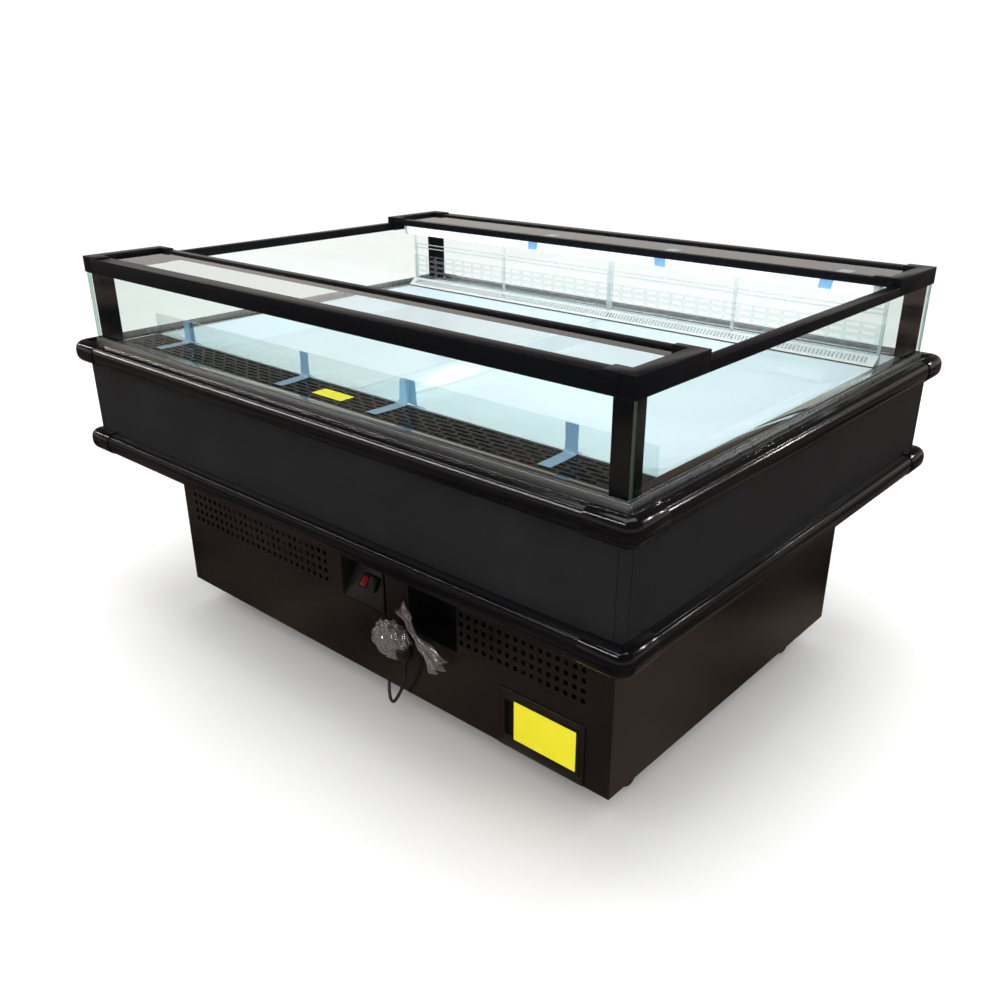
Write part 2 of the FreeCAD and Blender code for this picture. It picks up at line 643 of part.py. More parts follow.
def bent_tube(points, radius):
    """A round tube along straight runs joined by tangent arcs, and its centre line's length."""
    spots = [FreeCAD.Vector(*p) for p in points]
    edges = []
    here = spots[0]
    radii = []
    for before, corner, after in zip(spots, spots[1:], spots[2:]):
        back = before - corner
        ahead = after - corner
        half_turn = (math.pi - back.getAngle(ahead)) / 2
        reach = 0.45 * min(back.Length, ahead.Length)
        arc_radius = reach / math.tan(half_turn)
        radii.append(arc_radius)
        start = corner + back.normalize() * reach
        end = corner + ahead.normalize() * reach
        bulge = (back + ahead).normalize()
        centre_reach = arc_radius / math.cos(half_turn) - arc_radius
        edges.append(Part.LineSegment(here, start).toShape())
        edges.append(Part.Arc(start, corner + bulge * centre_reach, end).toShape())
        here = end
    edges.append(Part.LineSegment(here, spots[-1]).toShape())
    path = Part.Wire(edges)
    first = edges[0].tangentAt(edges[0].FirstParameter)
    ring = Part.Wire([Part.Circle(spots[0], first, radius).toShape()])
    tube = path.makePipeShell([ring], True, False)
    volume = math.pi * radius ** 2 * path.Length
    if abs(tube.Volume / volume - 1) > 0.02:
        raise RuntimeError("a tube's volume is not its section times its length")
    return tube, path.Length, radii


def pipework():
    """Suction and liquid lines from the compressor up to the evaporator, with the filter drier."""
    x = number("condenser_at")
    low = number("base_pan_level + pan_thick")
    top = number("liner_floor")
    radius = number("pipe_radius")
    compressor_side = number("compressor_radius")
    level = low + 16 + number("compressor_tall") * 0.35
    suction, _, _ = bent_tube([
        (x + compressor_side - 0.5, 60, level), (x + 150, 60, level),
        (x + 150, 100, top - 140), (x + 150, 100, top + 40), (x + 150, 100.5, top + 70),
    ], radius)
    coil_back = -number(BASE_Y) + 16 + number("condenser_deep")
    off = number("liquid_line_off")
    up = number("liquid_line_up")
    liquid, _, _ = bent_tube([
        (x + off, coil_back + 0.2, low + up), (x + off, coil_back + 80, low + up),
        (x + 175, coil_back + 160, low + 90), (x + 175, coil_back + 240, low + 90.5),
    ], radius * 0.8)
    drier = Part.makeCylinder(12, 90, FreeCAD.Vector(x + 175, coil_back + 240, low + 90.5),
                              FreeCAD.Vector(0, 1, 0))
    riser, _, _ = bent_tube([
        (x + 175, coil_back + 330, low + 90.5), (x + 175, coil_back + 370, low + 100),
        (x + 178, 78, top - 150), (x + 178, 78, top - 40), (x + 178, 78.5, top + 60),
    ], radius * 0.8)
    node("refrigerant_pipes", solid_feature("Pipes", Part.makeCompound([suction, liquid, drier, riser])))


# ---- mains cord -------------------------------------------------------------------------------

# The route of the lead from the control box to its coil on the base pan, and from the coil out
# under the front panel and up to the wrapped plug.
COIL_CENTRE = (-30.0, -352.0)
LEAD_ROUTE = [
    (133.0, -300.0, 150.0), (112.0, -300.0, 147.0), (88.0, -302.0, 134.0),
    (68.0, -304.0, 113.0), (44.0, -303.0, 96.0), (14.0, -303.2, 87.5), (-30.0, -303.0, 88.5),
]
TAIL_ROUTE = [
    (-30.0, -401.0, 81.5), (-4.0, -401.5, 82.5), (22.0, -405.0, 84.0), (46.0, -413.0, 81.0),
    (62.0, -423.0, 70.0), (72.0, -432.0, 57.0), (82.0, -443.0, 42.0), (96.0, -452.0, 27.0),
    (112.0, -457.0, 31.0), (126.0, -458.0, 52.0), (140.0, -459.5, 76.0), (152.0, -461.0, 103.0),
    (160.0, -463.0, 131.0), (163.0, -466.0, 157.0),
]


def mains_cord():
    radius = number("cord_radius")
    lengths = []
    for name, label, route in (("Lead", "cord_lead", LEAD_ROUTE), ("Tail", "cord_tail", TAIL_ROUTE)):
        tube, length, radii = bent_tube(route, radius)
        node(label, solid_feature(name, tube))
        lengths.append(length)
        print(label, "length %.0f mm, bend radii" % length, [round(r) for r in radii])
    columns = number("coil_columns")
    layers = number("coil_layers")
    middle = number("coil_radius")
    half = columns * radius
    low = number("base_pan_level + pan_thick")
    centre = FreeCAD.Vector(COIL_CENTRE[0], COIL_CENTRE[1], low)
    tall = layers * 2 * radius
    outer = Part.makeCylinder(middle + half, tall, centre)
    coil = outer.cut(Part.makeCylinder(middle - half, tall, centre))
    rims = [e for e in coil.Edges if isinstance(e.Curve, Part.Circle)]
    coil = coil.makeFillet(radius * 0.9, rims)
    node("cord_coil", solid_feature("Coil", coil))
    print("coil turns length %.0f mm" % (columns * layers * 2 * math.pi * middle))
    gland_at = LEAD_ROUTE[0]
    gland = Part.makeCone(number("gland_radius"), radius + 1.2, 24,
                          FreeCAD.Vector(140, gland_at[1], gland_at[2] + 1),
                          FreeCAD.Vector(-1, 0, -0.14))
    bore = Part.makeCylinder(radius, 60, FreeCAD.Vector(160, gland_at[1], gland_at[2] + 3.8),
                             FreeCAD.Vector(-1, 0, -0.14))
    keep = Part.makeBox(40, 60, 60, FreeCAD.Vector(100, gland_at[1] - 30, gland_at[2] - 30))
    node("cord_gland", solid_feature("Gland", gland.common(keep).cut(bore)))
    end = FreeCAD.Vector(*TAIL_ROUTE[-1])
    along = (end - FreeCAD.Vector(*TAIL_ROUTE[-2])).normalize()
    plug = Part.makeCone(radius + 2, number("plug_radius"), 14, end, along)
    plug = plug.fuse(Part.makeCylinder(number("plug_radius"), number("plug_long") - 14,
                                       end + along * 14, along))
    top = end + along * number("plug_long")
    for sign in (-1, 1):
        pin = Part.makeCylinder(2.4, 19, top + FreeCAD.Vector(9.5 * sign, 0, 0) - along * 0.5, along)
        plug = plug.fuse(pin)
    node("plug", solid_feature("Plug", plug))
    # Clear film tied over the plug: a thin bag, wide along the panel, gathered at its neck.
    wall = 0.8
    half = number("bag_radius")
    shape = [(radius + 2, -8), (half * 0.7, 2), (half, 26), (half * 0.96, 58), (half * 0.6, 82),
             (9, 96), (9, 106), (half * 0.72, 130), (half * 0.8, 150)]
    inner = [(r - wall if i else r, z + (wall if i < 4 else 0)) for i, (r, z) in enumerate(shape)]
    spots = [FreeCAD.Vector(r, 0, z) for r, z in shape + inner[::-1]]
    skin = Part.Face(Part.makePolygon(spots + spots[:1])).revolve(FreeCAD.Vector(), UP, 360)
    spread = FreeCAD.Matrix()
    spread.A11 = number("bag_spread")
    skin = skin.transformGeometry(spread)
    bag = solid_feature("Bag", skin)
    bag.Placement = FreeCAD.Placement(end, FreeCAD.Rotation(UP, along))
    node("plug_bag", bag)


# ---- tub --------------------------------------------------------------------------------------


def tub_shell():
    panels = []
    z = ("tub_bottom", "tub_top")
    inside_x = "%s - tub_corner_wide - fit_gap" % TUB_X
    inside_y = "%s - tub_corner_wide - fit_gap" % TUB_Y
    for sy, side in SIDES:
        panels.append(block("TubPanel" + side, both(inside_x),
                            span(sy, TUB_Y + " - skin_thick", TUB_Y), z))
    for sx, end in ENDS:
        panels.append(block("TubPanel" + end, span(sx, TUB_X + " - skin_thick", TUB_X),
                            both(inside_y), z))
    bottom = block("TubBottom", both(TUB_X + " - skin_thick - fit_gap"),
                   both(TUB_Y + " - skin_thick - fit_gap"), ("tub_bottom", "tub_bottom + skin_thick"))
    panels.append(cut("TubFloor", bottom, pipe_hole("BottomHole")))
    node("tub_panels", group("TubPanels", *panels))
    corner_profiles("TubCorner", "tub_corner_profiles", TUB_X, TUB_Y, "tub_corner_wide", *z)
    foam_x = TUB_X + " - skin_thick - fit_gap"
    foam_y = TUB_Y + " - skin_thick - fit_gap"
    foam = block("FoamOuter", both(foam_x), both(foam_y),
                 ("tub_bottom + skin_thick + fit_gap", "rim_top - rim_thick - 2 * fit_gap"))
    hollow = block("FoamInner", both(WELL_X + " + liner_thick + fit_gap"),
                   both(WELL_Y + " + liner_thick + fit_gap"),
                   ("liner_floor - liner_thick - fit_gap", "rim_top"))
    node("tub_insulation", cut("Insulation", foam, hollow, pipe_hole("FoamHole")))
    liner = block("LinerOuter", both(WELL_X + " + liner_thick"), both(WELL_Y + " + liner_thick"),
                  ("liner_floor - liner_thick", "rim_top - rim_thick - fit_gap"))
    well = block("LinerInner", both(WELL_X), both(WELL_Y), ("liner_floor", "rim_top"))
    node("tub_liner", cut("Liner", liner, well, pipe_hole("LinerHole")))


def pipe_hole(name):
    """Way for the refrigerant lines through the tub's floor."""
    return rod(name, "z", ("condenser_at + 164", "90", "tub_bottom - 5"), "duct_hole",
               "liner_floor - tub_bottom + 10")


def bumper_rail(tag, sign, long_side, top, flange):
    """One extruded bumper: a rounded nose, a lower lip and, above the tub, a top flange."""
    half = TUB_Y if long_side else TUB_X
    length = "%s + bumper_out - cap_arm" % (TUB_X if long_side else TUB_Y)
    low = "%s - bumper_tall" % top
    body = new_body(tag)
    role = "YZ_Plane" if long_side else "XZ_Plane"
    near = "%s + fit_gap" % half
    far = "%s + bumper_out" % half
    if sign < 0:
        near, far = "-(%s)" % near, "-(%s)" % far
    points = [(near, low), (far, low), (far, top), (near, top)]
    sketch = outline(body, tag + "Section", role, points, offset="-(%s)" % length)
    pad(body, sketch, "2 * (%s)" % length)
    reach = number(far)

    def nose(middle, direction):
        along = direction.x if long_side else direction.y
        across = middle.y if long_side else middle.x
        return abs(along) > 0.9 and abs(across - reach) < 0.1

    round_edges(body, tag + "Nose", "bumper_round", nose)
    pieces = [body]
    if flange:
        inner = HALF_Y if long_side else HALF_X
        reach_in = span(sign, "%s + fit_gap" % inner, "%s + fit_gap + 4" % half)
        along = both(length)
        x, y = (along, reach_in) if long_side else (reach_in, along)
        pieces.append(block(tag + "Flange", x, y, ("tub_top + fit_gap", "tub_top + 5")))
    return join(tag + "Rail", *pieces) if flange else body


def bumper_caps(tag, top):
    """Moulded corner pieces over the ends of the bumper rails."""
    caps = []
    low = "%s - bumper_tall" % top
    for sy, side in SIDES:
        for sx, end in ENDS:
            name = tag + side + end
            body = new_body(name)
            out = "bumper_out + cap_proud"
            x = span(sx, "%s + bumper_out - cap_arm + fit_gap" % TUB_X, "%s + %s" % (TUB_X, out))
            y = span(sy, "%s + bumper_out - cap_arm + fit_gap" % TUB_Y, "%s + %s" % (TUB_Y, out))
            corner = [(x[0], y[0]), (x[1], y[0]), (x[1], y[1]), (x[0], y[1])]
            sketch = outline(body, name + "Plan", "XY_Plane", corner,
                             offset="%s - cap_proud" % low)
            pad(body, sketch, "bumper_tall + 2 * cap_proud")
            edge_x = number(x[1] if sx > 0 else x[0])
            edge_y = number(y[1] if sy > 0 else y[0])

            def upright(middle, direction, ex=edge_x, ey=edge_y):
                on_corner = abs(middle.x - ex) < 0.1 and abs(middle.y - ey) < 0.1
                return abs(direction.z) > 0.9 and on_corner

            def outer(middle, direction, ex=edge_x, ey=edge_y):
                on_face = abs(middle.x - ex) < 0.1 or abs(middle.y - ey) < 0.1
                return abs(direction.z) < 0.1 and on_face

            round_edges(body, name + "Corner", "cap_round", upright)
            round_edges(body, name + "Nose", "bumper_round", outer)
            inside = block(name + "Inside", span(sx, "0", TUB_X + " + fit_gap"),
                           span(sy, "0", TUB_Y + " + fit_gap"), ("0", "frame_top"))
            caps.append(cut(name + "Cap", body, inside))
    return caps


def bumpers():
    caps = []
    lower_top = "tub_bottom + bumper_tall"
    for tag, label, top, flange in (
        ("UpperBumper", "bumper_rails_upper", "upper_bumper_top", True),
        ("LowerBumper", "bumper_rails_lower", lower_top, False),
    ):
        rails = [bumper_rail(tag + side, sign, True, top, flange) for sign, side in SIDES]
        rails += [bumper_rail(tag + end, sign, False, top, flange) for sign, end in ENDS]
        node(label, group(tag + "Rails", *rails))
        caps += bumper_caps(tag + "Cap", top)
    node("bumper_corner_caps", group("BumperCaps", *caps))


def rim():
    """Polished coping round the well, the plate behind the riser, and the glazing channel."""
    z = ("rim_top - rim_thick", "rim_top")
    edge_x = HALF_X + " - channel_wide - fit_gap"
    edge_y = HALF_Y + " - channel_wide - fit_gap"
    strips = [block("Coping" + side, both(edge_x), span(sy, WELL_Y, edge_y), z)
              for sy, side in SIDES]
    for sx, end in ENDS:
        top = block("Coping" + end, span(sx, WELL_X, edge_x), both(WELL_Y + " - fit_gap"), z)
        ledge = block("DeckLedge" + end, span(sx, WELL_X + " - 8", WELL_X + " + 1"),
                      both(WELL_Y + " - fit_gap"), (z[0], "rim_top - 4 - fit_gap"))
        strips.append(join("CopingEnd" + end, top, ledge))
    strips.append(block("BackPlate", both(WELL_X + " - 2 * fit_gap"),
                        ("riser_back + fit_gap", WELL_Y + " - fit_gap"),
                        ("rim_top - sheet_thick - 1", "rim_top - 1")))
    node("rim_coping", group("Coping", *strips))
    channels = []
    low = "tub_top + fit_gap"
    high = "tub_top + channel_tall"
    groove = ("%s + channel_skin" % low, "%s + 1" % high)
    slot_in = " - glass_inset - glass_thick - fit_gap"
    slot_out = " - glass_inset + fit_gap"
    for sy, side in SIDES:
        bar = block("Channel" + side, both(HALF_X), span(sy, HALF_Y + " - channel_wide", HALF_Y),
                    (low, high))
        slots = [block("ChannelSlot" + side, both(HALF_X + " - glass_inset"),
                       span(sy, HALF_Y + slot_in, HALF_Y + slot_out), groove)]
        for sx, end in ENDS:
            slots.append(block("PaneNotch" + side + end, span(sx, HALF_X + slot_in, HALF_X + slot_out),
                               span(sy, HALF_Y + " - channel_wide - 1", HALF_Y + " - glass_inset"),
                               groove))
        channels.append(cut("ChannelBar" + side, bar, *slots))
    for sx, end in ENDS:
        bar = block("Channel" + end, span(sx, HALF_X + " - channel_wide", HALF_X),
                    both(HALF_Y + " - channel_wide - fit_gap"), (low, high))
        slot = block("ChannelSlot" + end, span(sx, HALF_X + slot_in, HALF_X + slot_out),
                     both(HALF_Y), groove)
        channels.append(cut("ChannelBar" + end, bar, slot))
    node("glazing_channel", group("GlazingChannel", *channels))


# ---- evaporator under the deck ----------------------------------------------------------------


def evaporator():
    half = "evaporator_long / 2"
    low = "liner_floor + 14"
    high = "liner_floor + 14 + evaporator_tall"
    core = block("EvaporatorCore", both(half), ("110", "110 + evaporator_deep"), (low, high))
    trough = block("EvaporatorTrough", both(half + " + 8"), ("106", "114 + evaporator_deep"),
                   ("liner_floor", low))
    node("evaporator_coil", join("Evaporator", core, trough))
    plate = block("FanPlate", both(WELL_X + " - 3"), ("-60", "-57"), ("liner_floor", high + " + 20"))
    holes = []
    beam_low = "rim_top - sheet_thick - 12"
    motors = [
        block("DeckPost", both("5"), ("-60", "-57"), (high, beam_low + " + 1")),
        block("DeckBeam", both("5"), ("-(%s) + grille_wide + 12" % WELL_Y, "deck_back - 4"),
              (beam_low, "rim_top - 2 - sheet_thick - fit_gap")),
    ]
    z = "liner_floor + 72"
    for sx, end in ENDS:
        x = "%d * small_fan_at" % sx
        holes.append(rod("FanMouth" + end, "y", (x, "-70", z), "small_fan_radius + 4", "20"))
        motors.append(rod("SmallMotor" + end, "y", (x, "-34", z), "20", "30"))
        motors.append(block("MotorArm" + end, ("%s - 5" % x, "%s + 5" % x), ("-34", "-28"),
                            ("liner_floor", "liner_floor + 60")))
        motors.append(block("MotorFoot" + end, ("%s - 5" % x, "%s + 5" % x), ("-57.5", "-28"),
                            ("liner_floor", "liner_floor + 4")))
        fan("SmallFan" + end, "evaporator_fan_" + end.lower(), (x, "-50", z),
            "small_fan_radius", "18", "18", 5)
    node("evaporator_fan_plate", join("FanWall", cut("FanWallPlate", plate, *holes), *motors))


# ---- display deck -----------------------------------------------------------------------------


def return_grille():
    """Slotted air-return grille along the front, in a brick pattern."""
    front = "-(%s) + 2 * fit_gap" % WELL_Y
    back = "-(%s) + grille_wide" % WELL_Y
    pitch = number("grille_slot_pitch")
    row_pitch = number("grille_row_pitch")
    columns = int((number("well_length") - 60) // pitch)
    rows = int((number("grille_wide") - 20) // row_pitch) + 1
    wide = number("grille_slot_wide")
    margin = (number("grille_wide") - (rows - 1) * row_pitch) / 2
    slots = slots_at(columns, rows, pitch, row_pitch, (number("grille_slot_long"), wide, wide * 0.4),
                     (-(columns - 0.5) * pitch / 2, number(front) + margin), stagger=pitch / 2)
    level = FreeCAD.Vector(0, 0, number("rim_top - grille_drop - sheet_thick"))
    half = "min(%s - 2 * fit_gap; %s - post_wide - running_gap)" % (WELL_X, POST_X)
    node("return_grille", perforated("ReturnGrille", both(half), (front, back), slots,
                                     "sheet_thick", level))


def deck_pans():
    """Two pressed pans that lift out, with sloping sides and a flat floor."""
    front = "-(%s) + grille_wide + partition_thick + 2 * fit_gap" % WELL_Y
    thick = "sheet_thick"
    upended = FreeCAD.Rotation(FreeCAD.Vector(1, 0, 0), 90)
    for sx, end in ENDS:
        near = "0.5"
        far = WELL_X + " - 1"
        flange = block("PanFlange" + end, span(sx, near, far), (front, "deck_back"),
                       ("rim_top - 2 - sheet_thick", "rim_top - 2"))
        shells = []
        for grow, name in ((thick, "Outer"), ("0", "Inner")):
            basin = doc.addObject("Part::Wedge", "Pan" + name + end)
            basin.Placement = FreeCAD.Placement(FreeCAD.Vector(), upended)
            top = span(sx, "%s + pan_flange - %s" % (near, grow), "%s - pan_flange + %s" % (far, grow))
            floor = span(sx, "%s + pan_flange + pan_joint_slope - %s" % (near, grow),
                         "%s - pan_flange - pan_end_slope + %s" % (far, grow))
            lift = "0" if name == "Inner" else "sheet_thick"
            y_top = ("%s + pan_flange - %s" % (front, grow), "deck_back - pan_flange + %s" % grow)
            y_floor = ("%s + pan_flange + pan_front_slope - %s" % (front, grow),
                       "deck_back - pan_flange - pan_front_slope + %s" % grow)
            bounds = {
                "Xmin": floor[0], "Xmax": floor[1], "X2min": top[0], "X2max": top[1],
                "Zmin": "-(%s)" % y_floor[1], "Zmax": "-(%s)" % y_floor[0],
                "Z2min": "-(%s)" % y_top[1], "Z2max": "-(%s)" % y_top[0],
                "Ymin": "rim_top - 2 - pan_drop - %s" % lift, "Ymax": "rim_top - 2",
            }
            for key, text in bounds.items():
                basin.setExpression(key, link(text))
            shells.append(basin)
        outer = join("PanBody" + end, flange, shells[0])
        node("deck_pan_" + end.lower(), cut("DeckPan" + end, outer, shells[1]))


def front_partition():
    back = "-(%s) + grille_wide + fit_gap" % WELL_Y
    node("front_partition", block("Partition", both(WELL_X + " - 1"),
                                  (back, "%s + partition_thick" % back),
                                  ("rim_top - partition_below", "rim_top + partition_tall")))


def rear_riser():
    """Clear slotted air riser, its frame of uprights and rails, and the louvre at its foot."""
    low = "rim_top"
    pitch = number("riser_slot_pitch")
    columns = int((number("well_length") - 20) // pitch)
    size = (number("riser_slot_long"), number("riser_slot_wide"), number("riser_slot_wide") * 0.2)
    slots = slots_at(columns, 4, pitch, number("riser_row_pitch"), size,
                     (-(columns - 1) * pitch / 2, number(low) + 33))
    node("rear_riser",
         perforated("RiserPanel", both(WELL_X + " - 1"), ("rim_top - 4", low + " + riser_tall"),
                    slots, "riser_thick", FreeCAD.Vector(0, number("riser_back"), 0), STAND))
    top = "frame_top - cap_step - inner_tall - lamp_tall"
    face = "riser_back + fit_gap"
    lefts = ("-(%s) + 1" % WELL_X, "-357", "-upright_wide - fit_gap", "fit_gap", "343",
             "%s - 1 - upright_wide" % WELL_X)
    pieces = [block("Upright%d" % i, (x, "%s + upright_wide" % x), (face, "riser_back + 4"), (low, top))
              for i, x in enumerate(lefts)]
    for i, up in enumerate(("rail_low_up", "rail_high_up")):
        pieces.append(block("RiserRail%d" % i, both(WELL_X + " - 1"), ("riser_back - 4", face),
                            ("%s + %s" % (low, up), "%s + %s + rail_rod" % (low, up))))
    node("riser_frame", group("RiserFrame", *pieces))
    run = number("riser_back - riser_thick - deck_back - louvre_gap") - 0.5
    rise = number("louvre_rise")
    strip = math.hypot(run, rise)
    step = number("louvre_slot_pitch")
    count = int((number("well_length") - 30) // step)
    long = min(number("louvre_slot_long"), strip - 8)
    slots = slots_at(count, 1, step, 0, (number("louvre_slot_wide"), long, 0),
                     (-(count - 1) * step / 2, strip / 2))
    turn = FreeCAD.Rotation(FreeCAD.Vector(1, 0, 0), math.degrees(math.atan2(rise, run)))
    foot = FreeCAD.Vector(0, number("deck_back + louvre_gap"), number("rim_top"))
    node("rear_louvre", perforated("Louvre", both(WELL_X + " - 2"), ("0", str(strip)), slots,
                                   "louvre_thick", foot, turn))


# ---- glass walls and canopies -----------------------------------------------------------------


def glass_walls():
    low = "tub_top + fit_gap + channel_skin + 0.5"
    high = RAIL_LOW + " - fit_gap"
    panes = []
    inner = " - glass_inset - glass_thick"
    for sy, side in SIDES:
        panes.append(block("Pane" + side, both(HALF_X + " - glass_inset - 1"),
                           span(sy, HALF_Y + inner, HALF_Y + " - glass_inset"), (low, high)))
    for sx, end in ENDS:
        panes.append(block("Pane" + end, span(sx, HALF_X + inner, HALF_X + " - glass_inset"),
                           both(HALF_Y + inner + " - 1"), (low, high)))
    node("wall_glass", group("WallGlass", *panes))


def canopies():
    posts = []
    for sy, side in SIDES:
        for sx, end in ENDS:
            posts.append(block("Post" + side + end,
                               span(sx, POST_X + " - post_wide", POST_X),
                               span(sy, POST_Y + " - post_wide", POST_Y),
                               ("rim_top + fit_gap", RAIL_LOW + " - fit_gap")))
    node("corner_posts", group("Posts", *posts))
    outers = []
    inners = []
    blocks = []
    glasses = []
    run = HALF_X + " - end_wide - fit_gap"
    glass_top = "frame_top - cap_step - canopy_glass_drop"
    glass_low = "frame_top - cap_step - canopy_glass_drop - canopy_glass_thick"
    inner_edge = HALF_Y + " - canopy_depth"
    rail_edge = HALF_Y + " - rail_wide"
    for sy, side in SIDES:
        bar = block("OuterRail" + side, both(run), span(sy, rail_edge, HALF_Y), (RAIL_LOW, RAIL_TOP))
        ledge = block("OuterLedge" + side, both(run + " - 4"),
                      span(sy, rail_edge + " - ledge_wide", rail_edge),
                      (glass_low + " - ledge_tall - fit_gap", glass_low + " - fit_gap"))
        outers.append(join("OuterBar" + side, bar, ledge))
        slim = block("InnerRail" + side, both(run), span(sy, inner_edge, inner_edge + " + inner_wide"),
                     (RAIL_TOP + " - inner_tall", RAIL_TOP))
        lip = block("InnerLedge" + side, both(run + " - 4"),
                    span(sy, inner_edge + " + inner_wide", inner_edge + " + inner_wide + ledge_wide"),
                    (glass_low + " - ledge_tall - fit_gap", glass_low + " - fit_gap"))
        inners.append(join("InnerBar" + side, slim, lip))
        glasses.append(block("CanopyGlass" + side, both(run + " - fit_gap"),
                             span(sy, inner_edge + " + inner_wide + fit_gap", rail_edge + " - fit_gap"),
                             (glass_low, glass_top)))
        for sx, end in ENDS:
            tag = "EndBlock" + side + end
            bar = block(tag + "Bar", span(sx, HALF_X + " - end_wide", HALF_X),
                        span(sy, inner_edge, HALF_Y), (RAIL_LOW, "frame_top"))
            reach = span(sx, HALF_X + " - end_wide - cap_reach", HALF_X)
            lugs = [
                block(tag + "Lug", reach, span(sy, rail_edge, HALF_Y), (RAIL_TOP + " + 0.2", "frame_top")),
                block(tag + "Tab", reach, span(sy, inner_edge, inner_edge + " + inner_wide"),
                      (RAIL_TOP + " + 0.2", "frame_top")),
            ]
            blocks.append(join(tag, bar, *lugs))
    node("canopy_outer_rails", group("OuterRails", *outers))
    node("canopy_inner_rails", group("InnerRails", *inners))
    node("canopy_end_blocks", group("EndBlocks", *blocks))
    node("canopy_glass", group("CanopyGlass", *glasses))
    sides = [block("SideRail" + end, span(sx, HALF_X + " - side_wide", HALF_X),
                   both(inner_edge + " - fit_gap"), (RAIL_LOW, RAIL_LOW + " + side_tall"))
             for sx, end in ENDS]
    node("side_rails", group("SideRails", *sides))
    lamp_top = RAIL_TOP + " - inner_tall - fit_gap"
    lamp_y = inner_edge + " + inner_wide + fit_gap"
    lamp = block("Lamp", both(run + " - 18"), (lamp_y, "%s + lamp_wide" % lamp_y),
                 ("%s - lamp_tall" % lamp_top, lamp_top))
    clips = [block("LampClip%d" % i, ("%d" % (x - 12), "%d" % (x + 12)), (lamp_y, "%s + 5" % lamp_y),
                   (lamp_top, glass_low + " - ledge_tall - 2 * fit_gap"))
             for i, x in enumerate((-500, 0, 500))]
    node("led_lamp", join("LampUnit", lamp, *clips))


def main():
    base_panels()
    base_pan()
    switch_pocket()
    rocker_switch()
    cord_recess()
    drain_drawer()
    castors()
    machinery()
    pipework()
    mains_cord()
    tub_shell()
    bumpers()
    rim()
    evaporator()
    return_grille()
    deck_pans()
    front_partition()
    rear_riser()
    glass_walls()
    canopies()
    doc.recompute()
    for thing in doc.Objects:
        if "Invalid" in thing.State or "Error" in thing.State:
            raise RuntimeError("%s did not rebuild: %s" % (thing.Name, thing.State))
    for thing in NODES:
        if thing.Shape.isNull() or not thing.Shape.isValid():
            raise RuntimeError("%s has no valid shape" % thing.Label)
    os.makedirs("parts", exist_ok=True)
    for thing in NODES:
        thing.Shape.exportStep(os.path.join("parts", thing.Label + ".step"))
    print(len(NODES), "nodes written")


main()
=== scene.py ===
# %% [markdown]
# # An open-top island display freezer
#
# The real object is a shop freezer with no lid. A dark enamelled base on castors carries an
# insulated tub with two rings of black bumper. Low glass walls stand on the tub, and a glazed
# canopy runs along the front and the back. Inside lies a shallow white deck. Each step below
# makes one of its parts, in metres, with +Z up and the switch side facing -Y.

# %% Load the frame
import math

import bpy
from mathutils import Matrix, Vector


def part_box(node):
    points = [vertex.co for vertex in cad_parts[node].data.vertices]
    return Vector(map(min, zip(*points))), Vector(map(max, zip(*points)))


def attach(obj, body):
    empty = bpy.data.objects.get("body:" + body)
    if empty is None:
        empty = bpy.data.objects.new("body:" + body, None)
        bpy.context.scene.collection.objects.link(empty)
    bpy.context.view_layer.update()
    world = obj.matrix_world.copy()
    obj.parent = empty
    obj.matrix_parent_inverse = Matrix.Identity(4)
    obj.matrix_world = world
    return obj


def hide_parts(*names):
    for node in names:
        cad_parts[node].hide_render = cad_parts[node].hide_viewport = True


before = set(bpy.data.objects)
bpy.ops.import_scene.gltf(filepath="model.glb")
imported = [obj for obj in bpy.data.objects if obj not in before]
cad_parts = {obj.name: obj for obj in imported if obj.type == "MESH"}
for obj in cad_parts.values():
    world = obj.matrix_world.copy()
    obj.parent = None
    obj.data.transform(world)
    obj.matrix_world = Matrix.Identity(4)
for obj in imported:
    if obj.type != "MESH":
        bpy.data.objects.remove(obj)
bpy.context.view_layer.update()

# %% [markdown]
# ## The camera
#
# A phone-like camera stands off the corner between the front and the right end, a little above
# the glass. Its angle decides which surfaces must look good, so it is made first.

# %% Place the camera
bpy.ops.object.select_all(action="DESELECT")
bpy.ops.object.camera_add(
    location=(1.4201, -1.5945, 1.2278),
    rotation=(math.radians(65.4), 0, math.radians(41.29)),
)
camera = bpy.context.active_object
camera.data.lens = 34.88
camera.data.sensor_width = 36
camera.data.shift_x = -0.0033
camera.data.shift_y = 0.0268
bpy.context.scene.camera = camera
print("camera", tuple(round(v, 3) for v in camera.location))

# %% [markdown]
# ## Small helpers for shaping
#
# Operators act on whatever is selected, so every helper starts from an empty selection. A
# finished piece keeps its place in its mesh and sits at the origin, like the CAD nodes. Edges
# sharper than a crease angle stay crisp, and gentler ones are shaded smooth.


# %% Selecting and settling
SECTION_CREASE = math.radians(32)
EDGE_CREASE = math.radians(35)
SHEET_CREASE = math.radians(50)


def alone(*pieces):
    """Only these objects are selected, and the first is active."""
    bpy.ops.object.select_all(action="DESELECT")
    for piece in pieces:
        piece.select_set(True)
    bpy.context.view_layer.objects.active = pieces[0]


def settle(piece, name):
    """The piece takes its name, and its place goes into its mesh."""
    alone(piece)
    piece.name = name
    piece.data.name = name
    bpy.ops.object.transform_apply(location=True, rotation=True, scale=True)
    return piece


def outward(piece):
    """Doubles are merged and every face points out."""
    alone(piece)
    bpy.ops.object.mode_set(mode="EDIT")
    bpy.ops.mesh.select_all(action="SELECT")
    bpy.ops.mesh.remove_doubles(threshold=0.00001)
    bpy.ops.mesh.normals_make_consistent(inside=False)
    bpy.ops.object.mode_set(mode="OBJECT")
    return piece


